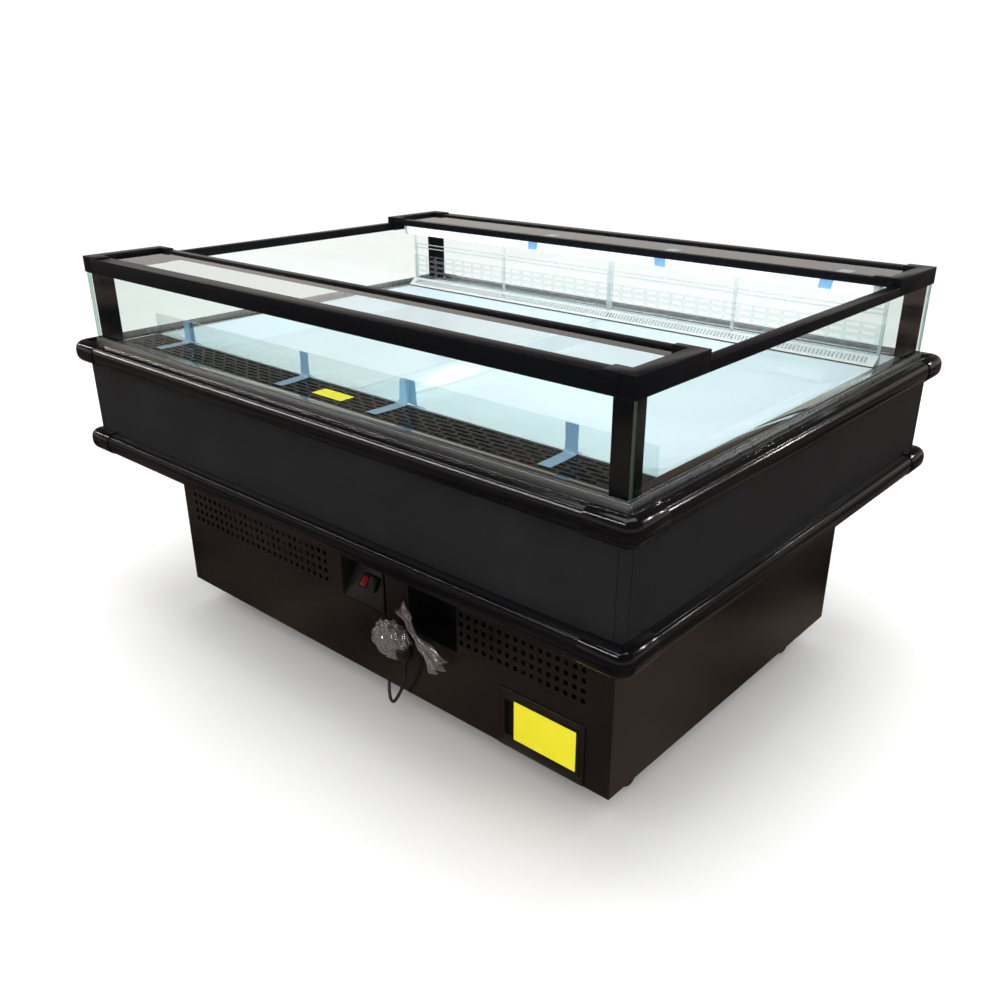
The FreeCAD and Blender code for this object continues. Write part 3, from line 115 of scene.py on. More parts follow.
def soften(piece, width, segments=2, angle=40):
    """Sharp edges get a small rounding, so they catch the light."""
    alone(piece)
    edge = piece.modifiers.new("edge", "BEVEL")
    edge.width = width
    edge.segments = segments
    edge.limit_method = "ANGLE"
    edge.angle_limit = math.radians(angle)
    edge.use_clamp_overlap = True
    bpy.ops.object.modifier_apply(modifier=edge.name)
    bpy.ops.object.shade_smooth_by_angle(angle=EDGE_CREASE)
    return piece


def merged(name, *pieces):
    """Several meshes become one piece."""
    alone(*pieces)
    if len(pieces) > 1:
        bpy.ops.object.join()
    pieces[0].name = name
    pieces[0].data.name = name
    return pieces[0]


def mirrored(piece, name, x=1, y=1):
    """A copy with its own mesh, flipped across the middle, its faces turned right again."""
    twin = bpy.data.objects.new(name, piece.data.copy())
    bpy.context.scene.collection.objects.link(twin)
    twin.data.transform(Matrix.Diagonal((x, y, 1, 1)))
    return outward(twin) if x * y < 0 else twin


print("selecting helpers ready")

# %% [markdown]
# Three ways of starting a piece cover most of this cabinet: a block, a bar with one section all
# along it, and a turned shape.


# %% Blocks, bars and turned shapes
def block(name, low, high, edge=0.001, segments=2):
    """A block between two corners, with rounded edges."""
    low, high = Vector(low), Vector(high)
    bpy.ops.object.select_all(action="DESELECT")
    bpy.ops.mesh.primitive_cube_add(size=1, location=(low + high) / 2, scale=high - low)
    piece = settle(bpy.context.active_object, name)
    return soften(piece, edge, segments) if edge else piece


def section_face(name, section, axis, where):
    """A flat face with one vertex for each (across, up) point of a section."""
    bpy.ops.object.select_all(action="DESELECT")
    bpy.ops.mesh.primitive_circle_add(vertices=len(section), radius=1, fill_type="NGON")
    piece = bpy.context.active_object
    piece.name = name
    for vertex, (across, up) in zip(piece.data.vertices, section):
        vertex.co = (where, across, up) if axis == "x" else (across, where, up)
    return piece


def push(value):
    """What is selected in edit mode is extruded."""
    bpy.ops.mesh.extrude_region_move(TRANSFORM_OT_translate={"value": value})


def bar(name, section, axis, low, high, edge=0.0):
    """A bar with the same section from low to high along an axis."""
    piece = section_face(name, section, axis, low)
    alone(piece)
    bpy.ops.object.mode_set(mode="EDIT")
    bpy.ops.mesh.select_all(action="SELECT")
    push((high - low, 0, 0) if axis == "x" else (0, high - low, 0))
    bpy.ops.object.mode_set(mode="OBJECT")
    outward(piece)
    settle(piece, name)
    if edge:
        return soften(piece, edge)
    bpy.ops.object.shade_smooth_by_angle(angle=SECTION_CREASE)
    return piece


def turned(name, rings, steps=32):
    """A closed shape built up from a disc through (height, radius) rings along Z."""
    bpy.ops.object.select_all(action="DESELECT")
    height, radius = rings[0]
    bpy.ops.mesh.primitive_circle_add(
        vertices=steps, radius=radius, fill_type="NGON", location=(0, 0, height)
    )
    piece = bpy.context.active_object
    bpy.ops.object.transform_apply(location=True)
    bpy.ops.object.mode_set(mode="EDIT")
    bpy.ops.mesh.select_all(action="SELECT")
    for next_height, next_radius in rings[1:]:
        push((0, 0, next_height - height))
        grow = next_radius / radius
        bpy.ops.transform.resize(value=(grow, grow, 1), center_override=(0, 0, next_height))
        height, radius = next_height, next_radius
    bpy.ops.object.mode_set(mode="OBJECT")
    outward(piece)
    settle(piece, name)
    bpy.ops.object.shade_smooth_by_angle(angle=SECTION_CREASE)
    return piece


def stood(piece, name, place, turn=None):
    """A piece made at the origin is turned and put in its place."""
    piece.matrix_world = Matrix.Translation(place) @ (turn or Matrix.Identity(4))
    return settle(piece, name)


def rounded_copy(name, node, width=0.001, segments=2, angle=40):
    """A CAD node's shape, made one surface with softened edges."""
    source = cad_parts[node]
    piece = bpy.data.objects.new(name, source.data.copy())
    bpy.context.scene.collection.objects.link(piece)
    alone(piece)
    bpy.ops.object.mode_set(mode="EDIT")
    bpy.ops.mesh.select_all(action="SELECT")
    bpy.ops.mesh.remove_doubles(threshold=0.00002)
    bpy.ops.mesh.dissolve_limited(angle_limit=math.radians(1))
    bpy.ops.object.mode_set(mode="OBJECT")
    return soften(piece, width, segments, angle)


print("shaping helpers ready")

# %% [markdown]
# ## Materials
#
# Each finish starts from what the real surface is. One function turns a screen colour into
# the linear value that the renderer works in, and one adds a node with its settings and links.


# %% Colour and node helpers
def linear(colour):
    """A #rrggbb screen colour as linear red, green, blue and alpha."""
    parts = [int(colour[i : i + 2], 16) / 255 for i in (1, 3, 5)]
    shades = [p / 12.92 if p <= 0.04045 else ((p + 0.055) / 1.055) ** 2.4 for p in parts]
    return (*shades, 1.0)


def add(tree, kind, inputs=None, **settings):
    """One node, with its settings, and inputs that are values or another node's outputs."""
    node = tree.nodes.new(kind)
    for key, value in settings.items():
        setattr(node, key, value)
    for key, value in (inputs or {}).items():
        if isinstance(value, bpy.types.NodeSocket):
            tree.links.new(value, node.inputs[key])
        else:
            node.inputs[key].default_value = value
    return node


def blank(name):
    """A material with an empty node tree, and its output."""
    material = bpy.data.materials.new(name)
    material.use_nodes = True
    material.node_tree.nodes.clear()
    output = add(material.node_tree, "ShaderNodeOutputMaterial")
    return material, material.node_tree, output


def ramp(tree, factor, stops):
    """A colour ramp from (place, colour) stops."""
    node = add(tree, "ShaderNodeValToRGB", {"Fac": factor})
    points = node.color_ramp.elements
    for i, (place, colour) in enumerate(stops):
        point = points[i] if i < 2 else points.new(place)
        point.position = place
        point.color = colour if len(colour) == 4 else (*colour, 1)
    return node


def grey(value):
    """One value on all three colour channels."""
    return (value, value, value, 1)


print("mid grey #808080 is linear", round(linear("#808080")[0], 3))

# %% [markdown]
# Most finishes here are one shader with a mottled colour, a varying roughness and a fine bump.
# The size of the mottling is given in millimetres, from what the real process leaves.


# %% The common recipe
def finish(
    name, dark, light, rough, mottle_mm, bump_mm=0.0, bump_size_mm=1.0, stretch=(1, 1, 1), **fixed
):
    """A surface whose colour runs between two near values and whose gloss is uneven."""
    material, tree, output = blank(name)
    place = add(tree, "ShaderNodeTexCoord").outputs["Object"]
    spread = add(tree, "ShaderNodeMapping", {"Vector": place, "Scale": stretch})
    mottle = add(
        tree,
        "ShaderNodeTexNoise",
        {"Vector": spread.outputs[0], "Scale": 1000 / mottle_mm, "Detail": 5.0, "Roughness": 0.6},
    )
    colour = ramp(tree, mottle.outputs[0], [(0.3, linear(dark)), (0.7, linear(light))])
    gloss = ramp(tree, mottle.outputs[0], [(0.25, grey(rough[0])), (0.75, grey(rough[1]))])
    shader = add(
        tree,
        "ShaderNodeBsdfPrincipled",
        {"Base Color": colour.outputs[0], "Roughness": gloss.outputs[0], **fixed},
    )
    if bump_mm:
        grain = add(
            tree,
            "ShaderNodeTexNoise",
            {"Vector": spread.outputs[0], "Scale": 1000 / bump_size_mm, "Detail": 2.0},
        )
        bump = add(
            tree,
            "ShaderNodeBump",
            {"Height": grain.outputs[0], "Distance": bump_mm / 1000, "Strength": 0.6},
        )
        tree.links.new(bump.outputs[0], shader.inputs["Normal"])
    tree.links.new(shader.outputs[0], output.inputs["Surface"])
    return material


# %% [markdown]
# The painted and moulded finishes. Baked enamel on the base is glossy and brown-black. The tub
# is powder coated, which leaves a fine orange peel. The bumper is extruded PVC with a wet shine.
# A low specular level keeps the black paint of the rails black in a bright room.

# %% Painted, moulded and rubber finishes
baked_enamel = finish("baked_enamel", "#120e0c", "#191411", (0.16, 0.24), 260,
                      **{"Specular IOR Level": 0.4})
powder_coat = finish("powder_coat", "#1b1c1e", "#212224", (0.42, 0.5), 120, 0.02, 1.6,
                     **{"Specular IOR Level": 0.16})
painted_rail = finish("painted_rail", "#0c0d10", "#121317", (0.26, 0.34), 120,
                      stretch=(0.2, 1, 1), **{"Specular IOR Level": 0.06})
extruded_pvc = finish("extruded_pvc", "#08080a", "#0c0c0f", (0.11, 0.15), 300,
                      stretch=(0.1, 0.1, 1), **{"Specular IOR Level": 0.26})
moulded_abs = finish("moulded_abs", "#0b0b0c", "#121213", (0.32, 0.42), 30, 0.03, 0.7)
grille_coat = finish("grille_coat", "#0e0d0d", "#161413", (0.25, 0.36), 60, 0.02, 1.2)
white_enamel = finish("white_enamel", "#c9dbe3", "#d3e3ea", (0.12, 0.2), 300,
                      **{"Specular IOR Level": 0.45})
white_moulding = finish("white_moulding", "#d9dcdb", "#e4e7e6", (0.3, 0.4), 60, 0.01, 1.0)
cord_rubber = finish("cord_rubber", "#0c0c0c", "#151515", (0.42, 0.55), 6, 0.02, 0.5)
tread_rubber = finish("tread_rubber", "#151414", "#201f1e", (0.55, 0.7), 9, 0.05, 0.6)
pu_foam = finish("pu_foam", "#b9a577", "#cdbb8f", (0.8, 0.95), 14, 0.4, 2.5)
red_lens = finish("red_lens", "#5c0909", "#7c1010", (0.12, 0.2), 12, **{"Coat Weight": 0.4})
label_vinyl = finish("label_vinyl", "#f4e81a", "#f9ee2a", (0.25, 0.35), 40)
print("painted and moulded finishes made")

# %% [markdown]
# The metals. Polished stainless is nearly a mirror. Extruded aluminium keeps faint lines from
# the die. Galvanised sheet shows zinc spangle, which is crystals about 8 mm across.


# %% Metal finishes
def metal(name, dark, light, rough, mottle_mm, share=1.0, **more):
    """The same recipe with a metallic share, lower where the metal is dulled by oxide."""
    return finish(name, dark, light, rough, mottle_mm, Metallic=share, **more)


mirror_stainless = metal("mirror_stainless", "#b9bcbd", "#cfd1d2", (0.05, 0.1), 200,
                         stretch=(0.1, 1, 1))
extruded_aluminium = metal("extruded_aluminium", "#8a8c8d", "#a3a5a6", (0.24, 0.36), 12,
                           share=0.75, stretch=(0.02, 1, 1))
zinc_plate = metal("zinc_plate", "#8b8d90", "#b1b3b5", (0.3, 0.42), 8,
                   share=0.75, bump_mm=0.02, bump_size_mm=8)
copper_tube = metal("copper_tube", "#8a4a2a", "#b4673d", (0.25, 0.4), 30)
nickel_pin = metal("nickel_pin", "#a9a59c", "#c4c1b8", (0.18, 0.28), 5)


FIN_GAP_MM = 4


def finned(name):
    """Coil fins: thin aluminium plates, drawn as upright lines further apart so that they show,
    with painted shade in the gaps between them.
    """
    material, tree, output = blank(name)
    place = add(tree, "ShaderNodeTexCoord").outputs["Object"]
    lines = add(
        tree,
        "ShaderNodeTexWave",
        {"Vector": place, "Scale": 1000 / FIN_GAP_MM / (2 * math.pi) * 0.5},
        wave_type="BANDS",
        bands_direction="X",
    )
    # The dark stop is painted shade in the gaps between fins, and the light stop is the fins'
    # metal.
    colour = ramp(tree, lines.outputs[0], [(0.2, linear("#3c3e40")), (0.8, linear("#b5b8ba"))])
    bump = add(tree, "ShaderNodeBump", {"Height": lines.outputs[0], "Distance": 0.001})
    shader = add(
        tree,
        "ShaderNodeBsdfPrincipled",
        {"Base Color": colour.outputs[0], "Metallic": 1.0, "Roughness": 0.4,
         "Normal": bump.outputs[0]},
    )
    tree.links.new(shader.outputs[0], output.inputs["Surface"])
    return material


coil_fins = finned("coil_fins")
print("metal finishes made")

# %% [markdown]
# The clear finishes. A thin pane hardly bends what is behind it, so it is made as a see-through
# shader with a mirror on top that grows at grazing angles. Light then passes straight through
# and reaches the deck. Cut edges look darker and greener, because light runs a long way in them.
# A pane's back faces add no haze and no mirror, because they would count the same sheet twice.


# %% Clear finishes
def clear(name, tint, haze, body="#ffffff", rough=0.02, crinkle_mm=0.0, mirror=1.5):
    """A thin clear sheet: tint is what passes, haze is the share that looks milky."""
    material, tree, output = blank(name)
    place = add(tree, "ShaderNodeTexCoord").outputs["Object"]
    smear = add(tree, "ShaderNodeTexNoise", {"Vector": place, "Scale": 9.0, "Detail": 4.0})
    wiped = ramp(tree, smear.outputs[0], [(0.35, grey(rough)), (0.75, grey(rough + 0.05))])
    through = add(tree, "ShaderNodeBsdfTransparent", {"Color": linear(tint)})
    milk = add(tree, "ShaderNodeBsdfPrincipled", {"Base Color": linear(body), "Roughness": 0.4})
    shine = add(tree, "ShaderNodeBsdfGlossy", {"Color": grey(1), "Roughness": wiped.outputs[0]})
    glance = add(tree, "ShaderNodeFresnel", {"IOR": mirror})
    if crinkle_mm:
        folds = add(tree, "ShaderNodeTexVoronoi", {"Vector": place, "Scale": 1000 / crinkle_mm})
        bump = add(tree, "ShaderNodeBump", {"Height": folds.outputs[0], "Distance": 0.004})
        for node in (shine, milk, glance):
            tree.links.new(bump.outputs[0], node.inputs["Normal"])
    behind = add(tree, "ShaderNodeNewGeometry").outputs["Backfacing"]
    facing = add(tree, "ShaderNodeMath", {0: 1.0, 1: behind}, operation="SUBTRACT").outputs[0]
    cloudy = add(tree, "ShaderNodeMath", {0: haze, 1: facing}, operation="MULTIPLY")
    polish = add(tree, "ShaderNodeMath", {0: glance.outputs[0], 1: facing}, operation="MULTIPLY")
    sheet = add(tree, "ShaderNodeMixShader", {0: cloudy.outputs[0]})
    tree.links.new(through.outputs[0], sheet.inputs[1])
    tree.links.new(milk.outputs[0], sheet.inputs[2])
    surface = add(tree, "ShaderNodeMixShader", {0: polish.outputs[0]})
    tree.links.new(sheet.outputs[0], surface.inputs[1])
    tree.links.new(shine.outputs[0], surface.inputs[2])
    tree.links.new(surface.outputs[0], output.inputs["Surface"])
    return material


float_glass = clear("float_glass", "#f7faf9", 0.0)
cut_glass_edge = clear("cut_glass_edge", "#a9c4ba", 0.07, "#b9d6cc", 0.15)
acrylic_sheet = clear("acrylic_sheet", "#f6fafa", 0.1, "#eef3f4", 0.05)
acrylic_edge = clear("acrylic_edge", "#e4ecec", 0.6, "#f4f8f8", 0.2)
crumpled_film = clear("crumpled_film", "#ece4e0", 0.13, "#f1e2de", 0.08, 17.0, 1.7)
blue_tape = clear("blue_tape", "#c3e2f7", 0.55, "#a6d2f1", 0.3)
print("clear finishes made")

# %% [markdown]
# The lamp's cover is opal: it glows evenly, a little bluish.


# %% Opal lamp cover
def opal(name):
    """A milky plastic that gives light of its own, a little cloudy."""
    material, tree, output = blank(name)
    place = add(tree, "ShaderNodeTexCoord").outputs["Object"]
    cloud = add(tree, "ShaderNodeTexNoise", {"Vector": place, "Scale": 14.0, "Detail": 2.0})
    glow = ramp(tree, cloud.outputs[0], [(0.2, linear("#eaf3f8")), (0.8, linear("#f8fcfe"))])
    shader = add(
        tree,
        "ShaderNodeBsdfPrincipled",
        {"Base Color": glow.outputs[0], "Roughness": 0.35, "Emission Color": glow.outputs[0],
         "Emission Strength": 0.55},
    )
    tree.links.new(shader.outputs[0], output.inputs["Surface"])
    return material


opal_cover = opal("opal_cover")
print("lamp cover made")

# %% [markdown]
# One last set of helpers dresses a piece: its finish, the body it rides on and the CAD nodes it
# stands for. A CAD node whose shape is right already only takes a finish.


# %% Dressing
def fit(piece, slot, *nodes, body="cabinet"):
    """The piece rides on its body and stands for its CAD nodes. The slot is not used."""
    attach(piece, body)
    if nodes:
        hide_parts(*nodes)
    return piece


def dress(piece, looks, slot, *nodes, body="cabinet"):
    """The piece takes one finish or several, and is fitted."""
    piece.data.materials.clear()
    for look in looks if isinstance(looks, tuple) else (looks,):
        piece.data.materials.append(look)
    return fit(piece, slot, *nodes, body=body)


def paint(look, *nodes):
    """CAD nodes keep their shape and take a finish."""
    for node in nodes:
        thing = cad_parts[node]
        thing.data.materials.clear()
        thing.data.materials.append(look)
    print("painted", *nodes)


def glaze(pane, axis, least=0.9):
    """The big faces of a glass pane are clear, and the others are cut edges."""
    for face in pane.data.polygons:
        face.material_index = 0 if abs(face.normal[axis]) > least else 1
    pane.data.materials.append(float_glass)
    pane.data.materials.append(cut_glass_edge)
    return pane


# %% [markdown]
# ## The mains lead
#
# The lead leaves a gland on the control box inside the base and is put away as a neat coil on
# the base pan. Its tail comes out under the front panel, folds back up and ends in the plug.
# It is one smooth line through the same points as the CAD tubes, with the coil's turns added.

# %% Points of the lead
LEAD = [
    (0.133, -0.300, 0.150), (0.112, -0.300, 0.147), (0.088, -0.302, 0.134),
    (0.068, -0.304, 0.113), (0.044, -0.303, 0.096), (0.014, -0.3032, 0.0875),
]
TAIL = [
    (-0.004, -0.4015, 0.0825), (0.022, -0.405, 0.084), (0.046, -0.413, 0.081),
    (0.062, -0.423, 0.070), (0.072, -0.432, 0.057), (0.082, -0.443, 0.042), (0.096, -0.452, 0.027),
    (0.112, -0.457, 0.031), (0.126, -0.458, 0.052), (0.140, -0.4595, 0.076),
    (0.152, -0.461, 0.103), (0.160, -0.463, 0.131), (0.163, -0.466, 0.157),
]
CORD_THICK = 0.007
COIL_MIDDLE = (-0.030, -0.352)
COIL_TURNS = 7.5
OUTER, INNER = 0.049, 0.028
LAYER_LOW = 0.0815
LAYER_HIGH = 0.0885


def coil_points():
    """In along the upper layer, down at the smallest turn, and out along the lower layer."""
    points = []
    per_turn = 16
    total = int(COIL_TURNS * per_turn)
    for i in range(total + 1):
        turns = i / per_turn
        if turns <= 3:
            radius = OUTER - (OUTER - INNER) * turns / 3
            height = LAYER_HIGH
        elif turns <= 4:
            radius = INNER
            height = LAYER_HIGH - CORD_THICK * (turns - 3)
        else:
            radius = min(OUTER, INNER + (OUTER - INNER) * (turns - 4) / 3)
            height = LAYER_LOW
        angle = math.radians(90) + turns * 2 * math.pi
        points.append((COIL_MIDDLE[0] + radius * math.cos(angle),
                       COIL_MIDDLE[1] + radius * math.sin(angle), height))
    return points


def smooth_line(name, points, thick):
    """A NURBS curve with a round section."""
    curve = bpy.data.curves.new(name, "CURVE")
    curve.dimensions = "3D"
    curve.bevel_depth = thick / 2
    curve.bevel_resolution = 4
    curve.resolution_u = 6
    curve.use_fill_caps = True
    spline = curve.splines.new("NURBS")
    spline.points.add(len(points) - 1)
    for point, place in zip(spline.points, points):
        point.co = (*place, 1)
    spline.order_u = 3
    spline.use_endpoint_u = True
    piece = bpy.data.objects.new(name, curve)
    bpy.context.scene.collection.objects.link(piece)
    return piece


route = LEAD + coil_points() + TAIL
lead = smooth_line("mains_lead", route, CORD_THICK)
print("lead has", len(route), "points")

# %% [markdown]
# The plug is a turned rubber body with grip rings and two pins. It points up along the end of
# the lead. The gland is the tapered sleeve where the lead enters the control box.

# %% Plug and gland
tail_end = Vector(TAIL[-1])
tail_way = (tail_end - Vector(TAIL[-2])).normalized()
plug_turn = Vector((0, 0, 1)).rotation_difference(tail_way).to_matrix().to_4x4()
plug_body = turned("plug_body", [
    (0.0, 0.0045), (0.002, 0.0055), (0.006, 0.006), (0.0075, 0.0075), (0.009, 0.0066),
    (0.0105, 0.0085), (0.012, 0.0078), (0.0135, 0.012), (0.017, 0.0165), (0.022, 0.0178),
    (0.034, 0.0178), (0.038, 0.017), (0.0395, 0.0155),
], 32)
PIN_OFF = 0.0095
pins = []
for side in (-1, 1):
    pin = turned("plug_pin", [(0.038, 0.0022), (0.056, 0.0022), (0.0575, 0.0016)], 16)
    pin.data.transform(Matrix.Translation((PIN_OFF * side, 0, 0)))
    pins.append(pin)
for part in [plug_body, *pins]:
    part.data.transform(plug_turn)
    part.data.transform(Matrix.Translation(tail_end))
dress(plug_body, moulded_abs, "cord_rubber", "plug")
plug_pins = dress(merged("plug_pins", *pins), nickel_pin, "aluminium")

gland = turned("cord_sleeve", [
    (0.0, 0.0045), (0.004, 0.005), (0.007, 0.0052), (0.008, 0.006), (0.012, 0.0062),
    (0.013, 0.0072), (0.018, 0.0076), (0.020, 0.009), (0.024, 0.009),
], 24)
stood(gland, "cord_sleeve", (0.1165, -0.300, 0.1478), Matrix.Rotation(math.radians(82), 4, "Y"))
dress(gland, moulded_abs, "black_plastic", "cord_gland")
dress(lead, cord_rubber, "cord_rubber", "cord_lead", "cord_coil", "cord_tail")
print("plug points", tuple(round(v, 2) for v in tail_way))

# %% [markdown]
# ## Base
#
# The base is folded sheet in glossy enamel. The CAD sheets already have the vent holes, so
# they only take their finish. So do the machinery and the inner sheets, which are hidden.

# %% Sheets and machinery
paint(baked_enamel, "base_front_panel", "base_back_panel", "base_end_panels",
      "base_corner_profiles")
paint(zinc_plate, "base_pan", "castor_plates", "condenser_shroud", "control_box",
      "evaporator_fan_plate")
paint(moulded_abs, "compressor", "condenser_fan", "evaporator_fan_left", "evaporator_fan_right",
      "cord_recess")
paint(coil_fins, "condenser_coil", "evaporator_coil")
paint(copper_tube, "refrigerant_pipes")
paint(pu_foam, "tub_insulation")
paint(white_enamel, "tub_liner")

# %% [markdown]
# Screws with domed heads hold the corner profiles. A head is turned, and its cross slot is cut
# by two thin blocks with a Boolean modifier, because a sunk slot catches a real shadow.

# %% Screws
SCREW_RADIUS = 0.0035
SCREW_INSET = 0.012
SCREW_HEIGHTS = (0.085, 0.40)


def screw(name, place, turn):
    """A domed screw head with a cross slot sunk in it."""
    head = turned(name, [(0, SCREW_RADIUS), (0.0006, SCREW_RADIUS), (0.0014, SCREW_RADIUS * 0.86),
                         (0.0019, SCREW_RADIUS * 0.5), (0.0020, SCREW_RADIUS * 0.2)], 16)
    slots = [block("slot", (-0.0022, -0.0004, 0.0014), (0.0022, 0.0004, 0.003), 0),
             block("slot", (-0.0004, -0.0022, 0.0014), (0.0004, 0.0022, 0.003), 0)]
    for tool in slots:
        alone(head)
        carve = head.modifiers.new("slot", "BOOLEAN")
        carve.object = tool
        carve.operation = "DIFFERENCE"
        bpy.ops.object.modifier_apply(modifier=carve.name)
        bpy.data.objects.remove(tool)
    return stood(head, name, place, turn)


low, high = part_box("base_corner_profiles")
screws = []
for side, turn in ((-1, Matrix.Rotation(math.radians(90), 4, "X")),
                   (1, Matrix.Rotation(math.radians(-90), 4, "X"))):
    for end in (-1, 1):
        for height in SCREW_HEIGHTS:
            face = low.y if side < 0 else high.y
            screws.append(screw("base_screw", (end * (high.x - SCREW_INSET), face, height), turn))
dress(merged("base_screws", *screws), moulded_abs, "black_plastic")
print("base screws", len(screws))

# %% [markdown]
# ## Switch pocket
#
# The power switch sits on a sloping floor in a pocket, out of harm's way. A rounded bezel
# frames a red rocker whose middle is hollowed, so that either end can be pressed.

# %% Pocket, bezel and rocker
dress(rounded_copy("pocket_shell", "switch_pocket", 0.0012), moulded_abs, "black_plastic",
      "switch_pocket")
dress(rounded_copy("switch_bezel", "switch_body", 0.0014, 3), moulded_abs, "black_plastic",
      "switch_body")
rocker = rounded_copy("rocker", "switch_rocker", 0.0018, 4)
dress(rocker, red_lens, "red_plastic", "switch_rocker", body="rocker")
print("rocker has", len(rocker.data.polygons), "faces")

# %% [markdown]
# ## Drain drawer
#
# Defrost water runs into a tray behind a small front with a finger pull. The frame round it is
# stepped. A blank yellow label covers most of the front.

# %% Drawer, frame and label
dress(rounded_copy("drawer_surround", "drawer_frame", 0.0009, 2), baked_enamel, "black_plastic",
      "drawer_frame")
dress(rounded_copy("drawer", "drain_drawer", 0.001, 2), baked_enamel, "black_plastic",
      "drain_drawer", body="drawer")
LABEL_LEFT, LABEL_RIGHT = 0.433, 0.580
LABEL_FOOT, LABEL_HEAD = 0.0845, 0.1715
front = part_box("drain_drawer")[0].y
label = block("yellow_label", (LABEL_LEFT, front - 0.0008, LABEL_FOOT),
              (LABEL_RIGHT, front + 0.0001, LABEL_HEAD), 0.0003, 1)
dress(label, label_vinyl, "black_plastic", body="drawer")
print("drawer front at", round(front, 4))

# %% [markdown]
# ## Castors
#
# Each castor has a pressed fork, an axle and a wheel with a crowned tread. The wheel's hub
# faces are dished, so the tread ring stands proud of them.

# %% Castors
for side in ("front", "back"):
    for end in ("left", "right"):
        tag = side + "_" + end
        wheel_low, wheel_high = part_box("castor_wheel_" + tag)
        middle = (wheel_low + wheel_high) / 2
        half = (wheel_high.x - wheel_low.x) / 2
        wheel = turned("wheel_" + tag, [
            (-half + 0.0006, 0.0085), (-half, 0.0082), (-half, 0.0042), (-half + 0.0004, 0.0041),
            (half - 0.0004, 0.0041), (half, 0.0042), (half, 0.0082), (half - 0.0006, 0.0085),
        ], 32)
        tyre = turned("tyre_" + tag, [
            (-half + 0.003, 0.0170), (-half + 0.0002, 0.0182), (-half + 0.0008, 0.0222),
            (-half + 0.0028, 0.0242), (-half + 0.007, 0.025), (half - 0.007, 0.025),
            (half - 0.0028, 0.0242), (half - 0.0008, 0.0222), (half - 0.0002, 0.0182),
            (half - 0.003, 0.0170),
        ], 48)
        whole = merged("wheel_" + tag, tyre, wheel)
        stood(whole, "wheel_" + tag, middle, Matrix.Rotation(math.radians(90), 4, "Y"))
        dress(whole, tread_rubber, "wheel_rubber", "castor_wheel_" + tag, body="wheel_" + tag)
        fork = rounded_copy("fork_" + tag, "castor_fork_" + tag, 0.0005, 2)
        dress(fork, zinc_plate, "galvanised", "castor_fork_" + tag, body="fork_" + tag)
print("castors made")

# %% [markdown]
# ## Tub
#
# The tub's skins are powder-coated sheet with narrow corner strips. The seam beside each strip
# is a thin dark line.

# %% Tub skins
paint(powder_coat, "tub_panels")
dress(rounded_copy("tub_corner_strips", "tub_corner_profiles", 0.0015, 2), powder_coat,
      "charcoal_paint", "tub_corner_profiles")

# %% [markdown]
# ## Bumpers
#
# The bumper is one extruded section, used above and below the tub. It is a rounded nose with
# fine ridges along its upper side and a lip under it. The upper one also has a flange that
# reaches in to the glazing channel. A bar with a drawn section gives all of this in one go,
# because everything on it runs the same way.

# %% Bumper section
TUB_X, TUB_Y = 0.7505, 0.570
NOSE_OUT, NOSE_HALF = 0.026, 0.0235
SQUARENESS = 2.5
RIDGES = (64, 46, 28)


def nose(grow=0.0, ridged=True, steps=88):
    """(out, up) points of the bumper's nose, from its bottom to its top."""
    points = []
    for i in range(steps + 1):
        degrees = -90 + 180 * i / steps
        turn = math.radians(degrees)
        swell = grow
        if ridged:
            for ridge in RIDGES:
                swell += 0.00045 * math.exp(-(((degrees - ridge) / 4.5) ** 2))
            swell += 0.0009 * math.exp(-(((degrees + 34) / 5.0) ** 2))
            swell -= 0.0006 * math.exp(-(((degrees + 24) / 4.0) ** 2))
        power = 2 / SQUARENESS
        out = math.copysign(abs(math.cos(turn)) ** power, math.cos(turn))
        up = math.copysign(abs(math.sin(turn)) ** power, math.sin(turn))
        points.append((out * (NOSE_OUT + swell), up * (NOSE_HALF + swell)))
    return points


def bumper_section(middle, flange, grow=0.0, ridged=True):
    """The closed section as (distance out of the tub's face, height)."""
    points = [(max(out, 0.0003), middle + up) for out, up in nose(grow, ridged)]
    if flange:
        top = middle + NOSE_HALF
        points = [p for p in points if not (p[0] < 0.006 and p[1] > middle)]
        points += [(0.0045, top + 0.0002), (0.001, top - 0.0035), (-0.0112, top - 0.0055),
                   (-0.0114, 0.6815), (0.0003, 0.6815)]
    return points


UPPER, LOWER = 0.6685, 0.4565
print("section has", len(bumper_section(UPPER, True)), "points")

# %% [markdown]
# Each ring has four rails. Only the front and the right one are made, and the other two are
# mirrored copies. The rails stop short of the corners, where the caps take over.

# %% Bumper rails
ARM = 0.059
for ring, middle, flange in (("upper", UPPER, True), ("lower", LOWER, False)):
    section = bumper_section(middle, flange)
    front = bar("bumper_" + ring + "_front", [(-TUB_Y - out, up) for out, up in section], "x",
                -TUB_X + ARM, TUB_X - ARM)
    right = bar("bumper_" + ring + "_right", [(TUB_X + out, up) for out, up in section], "y",
                -TUB_Y + ARM, TUB_Y - ARM)
    back = mirrored(front, "bumper_" + ring + "_back", y=-1)
    left = mirrored(right, "bumper_" + ring + "_left", x=-1)
    rails = merged("bumper_" + ring, front, back, left, right)
    alone(rails)
    bpy.ops.object.shade_smooth_by_angle(angle=SECTION_CREASE)
    dress(rails, extruded_pvc, "black_vinyl", "bumper_rails_" + ring)
    print(ring, "rails have", len(rails.data.polygons), "faces")

# %% [markdown]
# The corner caps are moulded pieces that slip over the ends of the rails. The same nose, a
# little larger, is pushed along one arm, spun a quarter turn about the tub's corner and pushed
# along the other arm. The ends get a rolled edge.


# %% Bumper corner caps
CAP_GROW = 0.0020
CAP_LAP = 0.004
CAP_KNEE = 0.0125


